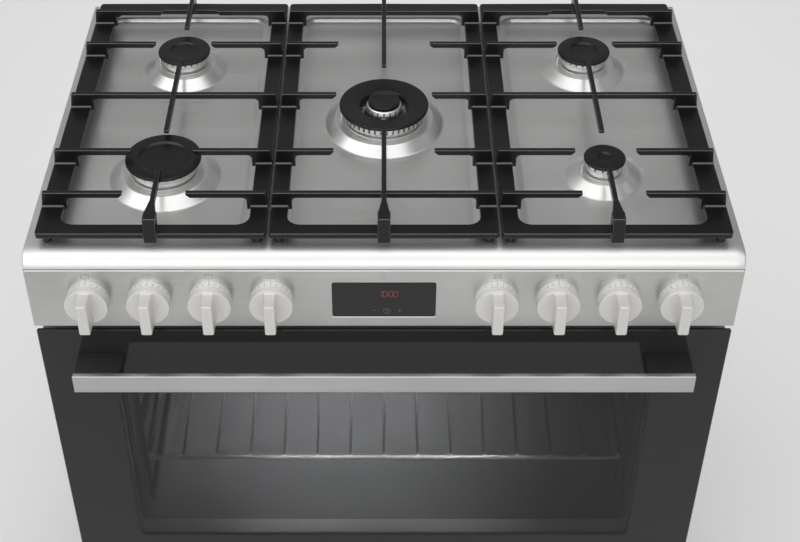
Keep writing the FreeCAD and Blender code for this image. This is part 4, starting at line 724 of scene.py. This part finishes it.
# The wok cap is a ring that dips from its rim to its hole, with a small cap high in its middle
def wokCapSheets(burner, form):
    r, hole, thick, floor = burner["cap"], form["wokHole"], form["thick"], -form["wokDip"]
    spigot = burner["head"] - form["gap"]
    line = arcedPath([
        (hole, floor - 0.0006, 0.0005), (hole, thick + floor - 0.0022, 0.0012),
        (hole + 0.0016, thick + floor - 0.0002, 0.0014), (r, thick, form["edge"]), (r, 0, 0.0010),
        (spigot, 0, 0.0004), (spigot, -form["spigot"], 0.0004),
        (spigot - form["wall"], -form["spigot"], 0.0004), (spigot - form["wall"], -0.0004, 0.0004),
        (hole, floor - 0.0006, 0)], steps=5)
    ring = (ringPoints(line[:-1], burner["spot"], 144, low=form["low"]), True, True)
    low, flat, r, spigot = pick(form, "innerLow innerFlat innerRadius innerSpigot")
    line = arcedPath([
        (0, low + 0.0042), (flat, low + 0.0042, 0.0008), (flat + 0.0012, low + 0.005, 0.0008),
        (r, low + 0.005, 0.0016), (r, low, 0.0012), (spigot, low, 0.0004), (spigot, low - 0.002, 0),
        (0, low - 0.002)], steps=5)
    return [ring, (ringPoints(line, burner["spot"], 96, low=form["low"]), False, True)]


# The wok burner has an inner ring too, and bridges from it to the outer wall at three angles
wokForm = {"inner": 0.019, "innerPorts": 18, "bore": 0.013, "rise": 0.0208, "lip": 0.0046, "cone": 0.0254,
           "slot": 0.0015, "slotDeep": 0.0030, "slotFrom": 0.0083, "slotTo": 0.0058, "slotOut": 0.024,
           "bridgeWide": 0.009, "bridgeTall": 0.005, "bridges": (30, 150, 270), "reach": (0.016, 0.051)}


# The inner ring is a sleeve under a cone, whose lower rim is cut by slots: the wall line is carried round.
# Slots run between two depths below the top, outside one radius
def innerRing(spot, form):
    r, bore, cone, tall, count = pick(form, "inner bore cone rise innerPorts")
    lip = r + form["lip"]
    line = arcedPath([
        (bore, 0, 0.0004), (r, 0, 0.0006), (r, tall - 0.0102, 0.001), (cone, tall - 0.0082, 0.0004),
        (cone, tall - 0.0080, 0), (cone, tall - 0.0062, 0.0002), (lip, tall - 0.0010, 0.0012),
        (lip - 0.0012, tall, 0.0006), (bore, tall, 0.0004)], steps=3)

    def bulge(t, radius, height):
        inSlot = slotDistance(t, count, r) < form["slot"] / 2
        inBand = (height > tall - form["slotFrom"]) & (height < tall - form["slotTo"])
        return radius - form["slotDeep"] * (inSlot & inBand & (radius > form["slotOut"]))

    angles = slottedAngles(count, r, form["slot"])
    return (ringPoints(line, spot, angles, low=place["headLow"], bulge=bulge), True, True)


# A bridge is a rounded bar: its cross-section (side, height) is carried along the radius
def bridgeSheet(spot, form, angle):
    half, tall = form["bridgeWide"] / 2, form["bridgeTall"]
    loop = arcedPath([(0, 0), (half, 0, 0.0012), (half, tall, 0.0016), (-half, tall, 0.0016),
                      (-half, 0, 0.0012), (0, 0)], steps=3)[:-1]
    t, u = math.radians(angle), np.linspace(*form["reach"], 6)[:, None]
    v, h = loop[:, 0], loop[:, 1]
    x, y = u * math.cos(t) - v * math.sin(t), u * math.sin(t) + v * math.cos(t)
    return (gridPoints(spot[0] + x, spot[1] + y, place["headLow"] + h), False, True)


for name, burner in burners.items():
    head, cap, spot = "burner_head_" + name, "burner_cap_" + name, burner["spot"]
    heads = [headSheet(burner, headForm, bandForms["wok" if name == "centre" else "plain"])]
    caps = wokCapSheets(burner, capForm) if name == "centre" else [capSheet(burner, capForm)]
    if name == "centre":
        heads.append(innerRing(spot, wokForm))
        heads += [bridgeSheet(spot, wokForm, angle) for angle in wokForm["bridges"]]
    addSheets("head_" + name, heads, burnerMetal, head, "aluminium", [head])
    addSheets("cap_" + name, caps, capEnamel, cap, "cap_enamel", [cap])


print("knobs")
knobForm = {"radius": 0.0275, "back": 0.0126, "face": 0.020, "front": 0.045, "edge": 0.0014,
            "hollow": 0.0258, "deep": 0.017, "hub": 0.008, "hubBack": 0.004, "shaft": 0.00405,
            "dome": 0.0006, "gripWide": 0.0149, "gripTall": 0.0485, "taper": 1.5, "gripRound": 0.0013,
            "corner": 0.0022, "fillet": 0.0022, "closing": (-0.0028, -0.0074)}


# A knob's disc: face, rounded rim, hollow back and hub with its hole, carried round the shaft
def discSheet(x, form):
    r, face, dome, back, hollow, deep, hub, hubBack, shaft = pick(
        form, "radius face dome back hollow deep hub hubBack shaft")
    line = arcedPath([
        (0, face + dome), (r * 0.6, face + dome * 0.6, 0.02), (r, face, form["edge"]), (r, back, 0.0004),
        (hollow, back, 0.0003), (hollow, deep, 0.0008), (hub, deep, 0.0008), (hub, hubBack, 0.0003),
        (shaft, hubBack, 0.0003), (shaft, deep - 0.001, 0), (0, deep - 0.001)], steps=5)
    return (ringPoints(line, (x, place["knobHeight"]), axis="y", low=place["front"]), False, True)


# The grip: rounded rectangles stacked forwards; each is half size - depth * tan(taper), flared at the
# disc and drawn in by a quarter circle at the front edge, closed by a flat middle
def gripSheet(x, form):
    start, (end, r, fillet) = form["face"] - 0.0002, pick(form, "front gripRound fillet")
    foot = np.linspace(0, quarter, 6)
    nose = foot[1:]
    depth = np.concatenate([
        start + fillet * (1 - np.cos(foot)), np.linspace(start + fillet, end - r, 5)[1:],
        end - r + r * np.sin(nose), [end, end]])
    grow = np.concatenate([
        fillet * (1 - np.sin(foot)), np.zeros(4), -r * (1 - np.cos(nose)), form["closing"]])
    lean = (depth - start) * math.tan(math.radians(form["taper"]))
    halfX, halfZ = form["gripWide"] / 2 - lean + grow, form["gripTall"] / 2 - lean + grow
    halfX, halfZ = np.maximum(halfX, 0.00004), np.maximum(halfZ, 0.0004)
    corner = np.clip(form["corner"] + grow, 0.00002, np.minimum(halfX, halfZ))
    y, halfX, halfZ, corner = (row[:, None] for row in (place["front"] - depth, halfX, halfZ, corner))
    parts = []
    for k, (signX, signZ) in enumerate(((1, 1), (-1, 1), (-1, -1), (1, -1))):
        t = np.linspace(0, quarter, 7) + k * quarter
        across = x + signX * (halfX - corner) + corner * np.cos(t)
        z = place["knobHeight"] + signZ * (halfZ - corner) + corner * np.sin(t)
        parts.append(gridPoints(across, y, z))
    return (np.concatenate(parts, axis=1), False, True)


ringForm = {"inner": 0.022, "outer": 0.0268, "step": 0.0252, "stepDeep": 0.0086, "deep": 0.0124,
            "edge": 0.0004}


# A dial ring: a section with small rounded edges, stepped down in front where the knob moves over it,
# carried round the shaft
def dialSheet(x, form):
    inner, outer, step, deep, stepDeep, edge = pick(form, "inner outer step deep stepDeep edge")
    line = arcedPath([
        (inner, 0, 0), (outer, 0, 0.0001), (outer, stepDeep, edge), (step, stepDeep + 0.0006, edge),
        (step, deep, edge), (inner, deep, edge), (inner, 0, 0)], steps=3)[:-1]
    return (ringPoints(line, (x, place["knobHeight"]), axis="y", low=place["front"]), True, True)


for number, x in enumerate(knobSpots, 1):
    addSheets(f"knobPiece_{number}", [discSheet(x, knobForm), gripSheet(x, knobForm)], knobMetal,
              f"knob_{number}", "knob_metal", [f"knob_{number}"], crease=32)
addSheets("dialRings", [dialSheet(x, ringForm) for x in knobSpots], ringMetal, "cooker", "ring_metal",
          ["dial_rings"], crease=32)


print("pan supports and trim")
softForm = {"angle": 34, "flat": 1.0, "slopes": (0.2, 0.97)}


# A merged copy of a CAD node with fine rounded edges, which stands for the node.
# Faces whose normals rise between the two slopes, and the rounded edges, may have a material of their own:
# a painted highlight, lighter and glossier than the main material
def softenedCopy(node, material, body, slot, width, segments=2, edge=None, form=softForm):
    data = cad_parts[node].data.copy()
    work = bmesh.new()
    work.from_mesh(data)
    bmesh.ops.remove_doubles(work, verts=work.verts, dist=smallest["merge"])
    bmesh.ops.dissolve_limit(
        work, angle_limit=math.radians(form["flat"]), verts=work.verts, edges=work.edges)
    work.to_mesh(data)
    work.free()
    for attribute in ("custom_normal", "sharp_edge", "sharp_face"):
        if attribute in data.attributes:
            data.attributes.remove(data.attributes[attribute])
    copy = addPiece(node + "_soft", data, material, body, slot, [node], crease=0)
    addModifier(copy, "BEVEL", width=width, segments=segments, limit_method="ANGLE",
                angle_limit=math.radians(form["angle"]), harden_normals=True, use_clamp_overlap=not edge,
                material=1 if edge else -1)
    if edge:
        data.materials.append(edge)
        normals = np.empty(len(data.polygons) * 3, np.float32)
        data.polygons.foreach_get("normal", normals)
        rise, (low, high) = normals.reshape(-1, 3)[:, 2], form["slopes"]
        data.polygons.foreach_set("material_index", ((rise > low) & (rise < high)).astype(np.int32))


supportForm = {"pitch": 0.2905, "half": 0.1435, "sideRail": 0.028, "midRail": 0.022, "inset": 0.005,
               "bars": (-0.195, -0.105, 0.025, 0.155, 0.245), "ends": ((-0.229, 1), (0.275, -1)),
               "under": 0.933, "railTop": 0.920, "halfBar": 0.0029, "barFront": 0.003,
               "bend": 0.005, "weld": 0.0030, "weldGap": 0.0006, "lap": 0.0004, "tip": 0.0005,
               "round": 0.0009}


# A filled inside corner as a loop of (out, up): two straight sides with a lap, less a quarter circle of
# radius r. Its four copies along the corner are drawn in to a tip, whole, whole and drawn in again
def cornerLoop(r, count, form):
    lap, tip, t = form["lap"], form["tip"], np.linspace(0, quarter, count)
    out = np.concatenate([[-lap, r], r - r * np.sin(t), [-lap]])
    up = np.concatenate([[-lap, -lap], r - r * np.cos(t), [r]])
    shrink = np.array([0, 1, 1, 0])[:, None]
    return tip + (out - tip) * shrink, tip + (up - tip) * shrink


# The round inside corner under a bar where its leg begins: the corner loop hangs down, across the bar
def bendSheet(spot, way, alongX, form):
    along, down = cornerLoop(form["bend"], 8, form)
    across = np.array([-1, -1, 1, 1])[:, None] * form["halfBar"]
    x, y = (way * along, across) if alongX else (across, way * along)
    return (gridPoints(spot[0] + x, spot[1] + y, form["under"] - down), False, True)


# The weld at a leg's foot: the corner loop stands on the rail, from start to end across it
def weldSheet(start, end, y, form):
    along, up = cornerLoop(form["weld"], 7, form)
    across = np.array([start, start, end, end])[:, None]
    return (gridPoints(across, y - along, form["railTop"] + up), False, True)


for side, name in ((-1, "left"), (0, "centre"), (1, "right")):
    form, node = supportForm, "pan_support_" + name
    # the sloped faces and rounded edges get the painted highlight
    softenedCopy(node, iron, node, "cast_iron", form["round"], edge=ironPaintedHighlight)
    middle, half, gap = form["pitch"] * side, form["half"], form["weldGap"]
    leftEdge = middle - half + form["sideRail" if side < 0 else "midRail"]
    rightEdge = middle + half - form["sideRail" if side > 0 else "midRail"]
    legs = [(leftEdge + form["inset"], 1), (rightEdge - form["inset"], -1)]
    bends = [bendSheet((x, y), way, True, form) for x, way in legs for y in form["bars"]]
    bends += [bendSheet((middle, y), way, False, form) for y, way in form["ends"]]
    rails = ((middle - half + gap, leftEdge - gap), (rightEdge + gap, middle + half - gap))
    welds = [weldSheet(*rail, y - form["barFront"], form) for rail in rails for y in form["bars"]]
    # the welds are painted highlight all over
    addSheets("supportWelds_" + name, welds, ironPaintedHighlight, node, "cast_iron", crease=30)
    addSheets("supportBends_" + name, bends, iron, node, "cast_iron", crease=30)
softenedCopy("handle_bar", handleMetal, "oven_door", "aluminium", 0.0012, 3)
softenedCopy("handle_brackets", blackPlastic, "oven_door", "black_plastic", 0.0010)
softenedCopy("control_panel", dialSteel, "cooker", "stainless", 0.0007)
softenedCopy("drawer_front", panelSteel, "drawer", "stainless", 0.0008)


trimForm = {  # half width, height on the panel, bead's height and depth
    "top": (0.4485, 0.8784, 0.0013, 0.0007), "clock": (0.0655, 0.8003, 0.0018, 0.0009), "sunk": 0.0004}


# A half-round bead along the panel: depth out * cos t, height tall / 2 * sin t, closed at its ends
def beadSheet(halfWide, height, tall, out):
    t = np.linspace(-quarter, quarter, 9)
    forward = np.append(out * np.cos(t), -trimForm["sunk"])
    up = np.append(tall / 2 * np.sin(t), 0)
    shrink = np.array([0, 1, 1, 0])[:, None]
    across = np.array([-1, -1, 1, 1])[:, None] * halfWide
    return (gridPoints(across, place["front"] - forward * shrink, height + up * shrink), False, True)


sheets = [beadSheet(*trimForm[name]) for name in ("top", "clock")]
addSheets("panelBeads", sheets, brightMetal, "cooker", "stainless", crease=40)


print("marks")
printForm = {"lift": 0.00006, "line": 0.0005, "iconHeight": 0.8690, "ringTop": 0.8612, "iconLow": 0.0050,
             "frame": (0.0098, 0.0070), "barHalf": 0.0030, "barHeight": 0.0016,
             "dots": ((-0.0026, -0.0014), (-0.0026, 0.0014), (0, 0), (0.0026, 0.0014), (0.0026, -0.0014)),
             "dot": 0.00105, "hole": 0.00055, "centre": 0.00001,
             "timer": {"x": -0.001, "ring": (0.0041, 0.0046), "up": 0.0028, "side": 0.0021}}


# Points (x, z) just in front of the panel's face, or of a pane that stands proud of it
def onPanel(x, z, proud):
    return gridPoints(x, place["front"] - proud - printForm["lift"], z)


# A drawn line as a ribbon: middle line +- half the width along its own normal
def inkLine(points, width, proud=0.0):
    points = np.array(points, float)
    way = np.gradient(points, axis=0)
    way /= np.maximum(np.linalg.norm(way, axis=1, keepdims=True), 1e-9)
    side = np.stack([-way[:, 1], way[:, 0]], axis=1) * width / 2
    both = np.stack([points + side, points - side], axis=1)
    return (onPanel(both[..., 0], both[..., 1], proud), False, False)


# A closed ring or filled dot: radius * (cos t, sin t) between two radii
def inkRing(x, z, inner, outer, proud=0.0, columns=28):
    t = np.linspace(0, turn, columns, endpoint=False)
    r = np.array([inner, outer])[:, None]
    return (onPanel(x + r * np.cos(t), z + r * np.sin(t), proud), False, True)


# A rectangle with round corners, drawn as a ribbon
def inkFrame(x, z, wide, tall, width, corner=0.001):
    top, signs = (x, z + tall / 2), ((1, 1), (1, -1), (-1, -1), (-1, 1))
    corners = [(x + sx * wide / 2, z + sz * tall / 2, corner) for sx, sz in signs]
    return inkLine(arcedPath([top, *corners, top], steps=4), width)


# A timer's sign: a ring with two hands from its middle, one up and one to the side
def timerLines(x, z, form, line, proud=0.0, columns=28):
    hands = [(x, z + form["up"]), (x, z), (x + form["side"], z)]
    return [inkRing(x, z, *form["ring"], proud, columns), inkLine(hands, line, proud)]


# Above each knob a framed sign and a line down to its ring. The four signs on the left hold one or two
# bars, and the four on the right hold a dot for each of the five burners, one of them filled
marks, z, line = [], printForm["iconHeight"], printForm["line"]
for number, x in enumerate(knobSpots):
    marks.append(inkLine([(x, z - printForm["iconLow"]), (x, printForm["ringTop"])], line))
    marks.append(inkFrame(x, z, *printForm["frame"], line))
    if number < 4:
        for up in (1, -1)[:1 + number % 2]:
            height, half = z + up * printForm["barHeight"], printForm["barHalf"]
            marks.append(inkLine([(x - half, height), (x + half, height)], line * 0.8))
    else:
        for k, (dx, dz) in enumerate(printForm["dots"]):
            inner = printForm["centre" if k == number - 4 else "hole"]
            marks.append(inkRing(x + dx, z + dz, inner, printForm["dot"]))
marks += timerLines(printForm["timer"]["x"], z, printForm["timer"], line)
addSheets("panelPrint", marks, greyInk, "cooker", "black_plastic", closed=False, smooth=False)


ringMarkForm = {"angles": (122, 106, 74, 58, 42, 26, 10, -6, -22), "line": (0.0007, 0.0040, 0.0078),
                "top": (0.0006, 0.0006, 0.0082), "lift": 0.00005}


# Marks on a dial ring's outside: a ribbon wrapped on the ring, (r cos t, depth, r sin t) from the shaft
def ringMark(x, angle, width, start, end):
    r = ringForm["outer"] + ringMarkForm["lift"]
    t = math.radians(angle) + np.linspace(-0.5, 0.5, 3) * width / r
    depth = np.array([start, end])[:, None]
    z = place["knobHeight"] + r * np.sin(t)
    return (gridPoints(x + r * np.cos(t), place["front"] - depth, z), False, False)


sheets = [ringMark(x, 90, *ringMarkForm["top"]) for x in knobSpots]
sheets += [ringMark(x, angle, *ringMarkForm["line"])
           for x in knobSpots for angle in ringMarkForm["angles"]]
addSheets("ringPrint", sheets, greyInk, "cooker", "black_plastic", closed=False, smooth=False)

# The clock: lit figures and three dim touch signs, on the front of its proud pane of dark glass
clockForm = {"proud": 0.0008, "digitTall": 0.0098, "digitWide": 0.0046, "pitch": 0.0062, "stroke": 0.0010,
             "digitsLeft": -0.0072, "digitsLow": 0.8355, "figures": "1000", "colonGap": 0.0012,
             "colonX": 0.0050, "colonHeights": (0.0032, 0.0066), "colonDot": (0.00001, 0.0006)}
signForm = {"height": 0.8112, "minus": -0.0120, "plus": 0.0200, "raise": 0.001, "half": 0.0022,
            "line": 0.0008, "middle": 0.0034, "ring": (0.0037, 0.0044), "up": 0.0026, "side": 0.0018,
            "hand": 0.0007}
segments = {"0": "abcdef", "1": "bc"}


# A figure of straight bars: each letter is one of the six outer bars of an upright eight
def figureLines(figure, x, z, form):
    w, h, g = form["digitWide"], form["digitTall"], form["stroke"] * 0.6
    bars = {"a": ((g, h), (w - g, h)), "b": ((w, h - g), (w, h / 2 + g)), "c": ((w, h / 2 - g), (w, g)),
            "d": ((g, 0), (w - g, 0)), "e": ((0, g), (0, h / 2 - g)), "f": ((0, h / 2 + g), (0, h - g))}
    return [inkLine([(x + a, z + b) for a, b in bars[letter]], form["stroke"], form["proud"])
            for letter in segments[figure]]


sheets, proud, low = [], clockForm["proud"], clockForm["digitsLow"]
for number, figure in enumerate(clockForm["figures"]):
    x = clockForm["digitsLeft"] + number * clockForm["pitch"] + clockForm["colonGap"] * (number > 1)
    sheets += figureLines(figure, x, low, clockForm)
sheets += [inkRing(clockForm["colonX"], low + height, *clockForm["colonDot"], proud, 16)
           for height in clockForm["colonHeights"]]
addSheets("clockFigures", sheets, redDigits, "cooker", "dark_glass", closed=False, smooth=False)
z, half, line, minus, plus, middle, hand = pick(signForm, "height half line minus plus middle hand")
bar = z + signForm["raise"]
sheets = [inkLine([(x - half, bar), (x + half, bar)], line, proud) for x in (minus, plus)]
sheets.append(inkLine([(plus, bar + half), (plus, bar - half)], line, proud))
sheets += timerLines(middle, z, signForm, hand, proud, 40)
addSheets("clockSigns", sheets, dimIcons, "cooker", "dark_glass", closed=False, smooth=False)


def addStage(name, data, material, onlyReflected=False):
    thing = bpy.data.objects.new(name, data)
    data.materials.append(material)
    bpy.context.scene.collection.objects.link(thing)
    if onlyReflected:
        thing.visible_camera = thing.visible_diffuse = False
        thing.visible_shadow = thing.visible_transmission = False


# A square floor, which fades to the backdrop's shade far from the cooker
def setFloor(form):
    half, colour = form["floorHalf"], form["floor"]
    data = bpy.data.meshes.new("floor")
    corners = [(x * half, y * half, 0) for x, y in ((-1, -1), (1, -1), (1, 1), (-1, 1))]
    data.from_pydata(corners, [], [(0, 1, 2, 3)])
    material, tree = startMaterial("floor", colour, 0.0, 0.75, **{"Emission Color": (1, 1, 1, 1)})
    patches, axes = spread(tree, noiseNode(tree, 1.5), 0, 1), objectAxes(tree)
    away = lengthNode(tree, axes["X"], axes["Y"])
    glow = spread(tree, away, 0, form["farGlow"], form["farFrom"], form["farTo"])
    dress(material, {
        "Base Color": mixNode(tree, patches, [part * 0.985 for part in colour], colour),
        "Emission Strength": mathNode(tree, "MULTIPLY", glow, shownRays(tree))})
    addStage("floor", data, material)


# A curved grey screen behind and beside the cooker that only reflections see. Its light falls with height,
# from one level to the next, and changes by a share from left to right
def setScreen(form):
    r, t = form["radius"], np.radians(np.linspace(form["start"], form["end"], 49))
    height = np.linspace(form["low"], form["high"], 9)[:, None]
    points = gridPoints(r * np.cos(t), r * np.sin(t), height)
    data = makeMesh("screen", [(points, False, False)], closed=False)
    material, tree = startMaterial("screen", 0.0, 0.0, 1.0, **{"Emission Strength": 1.0})
    axes = objectAxes(tree)
    level = form["levels"][0][1]
    for before, after in zip(form["levels"], form["levels"][1:]):
        step = spread(tree, axes["Z"], 0, after[1] - before[1], before[0], after[0])
        level = mathNode(tree, "ADD", step, level)
    share = spread(tree, axes["X"], form["left"], form["right"], -r, r)
    dress(material, {"Emission Color": mathNode(tree, "MULTIPLY", level, share)})
    addStage("screen", data, material, onlyReflected=True)


print("stage")
setFloor(backdrop)
setCamera(cameraSettings)
setLamps(lampSettings)
setScreen(screenForm)
setWorld(backdrop)
bpy.context.scene.view_settings.view_transform = "Standard"

bpy.context.view_layer.update()
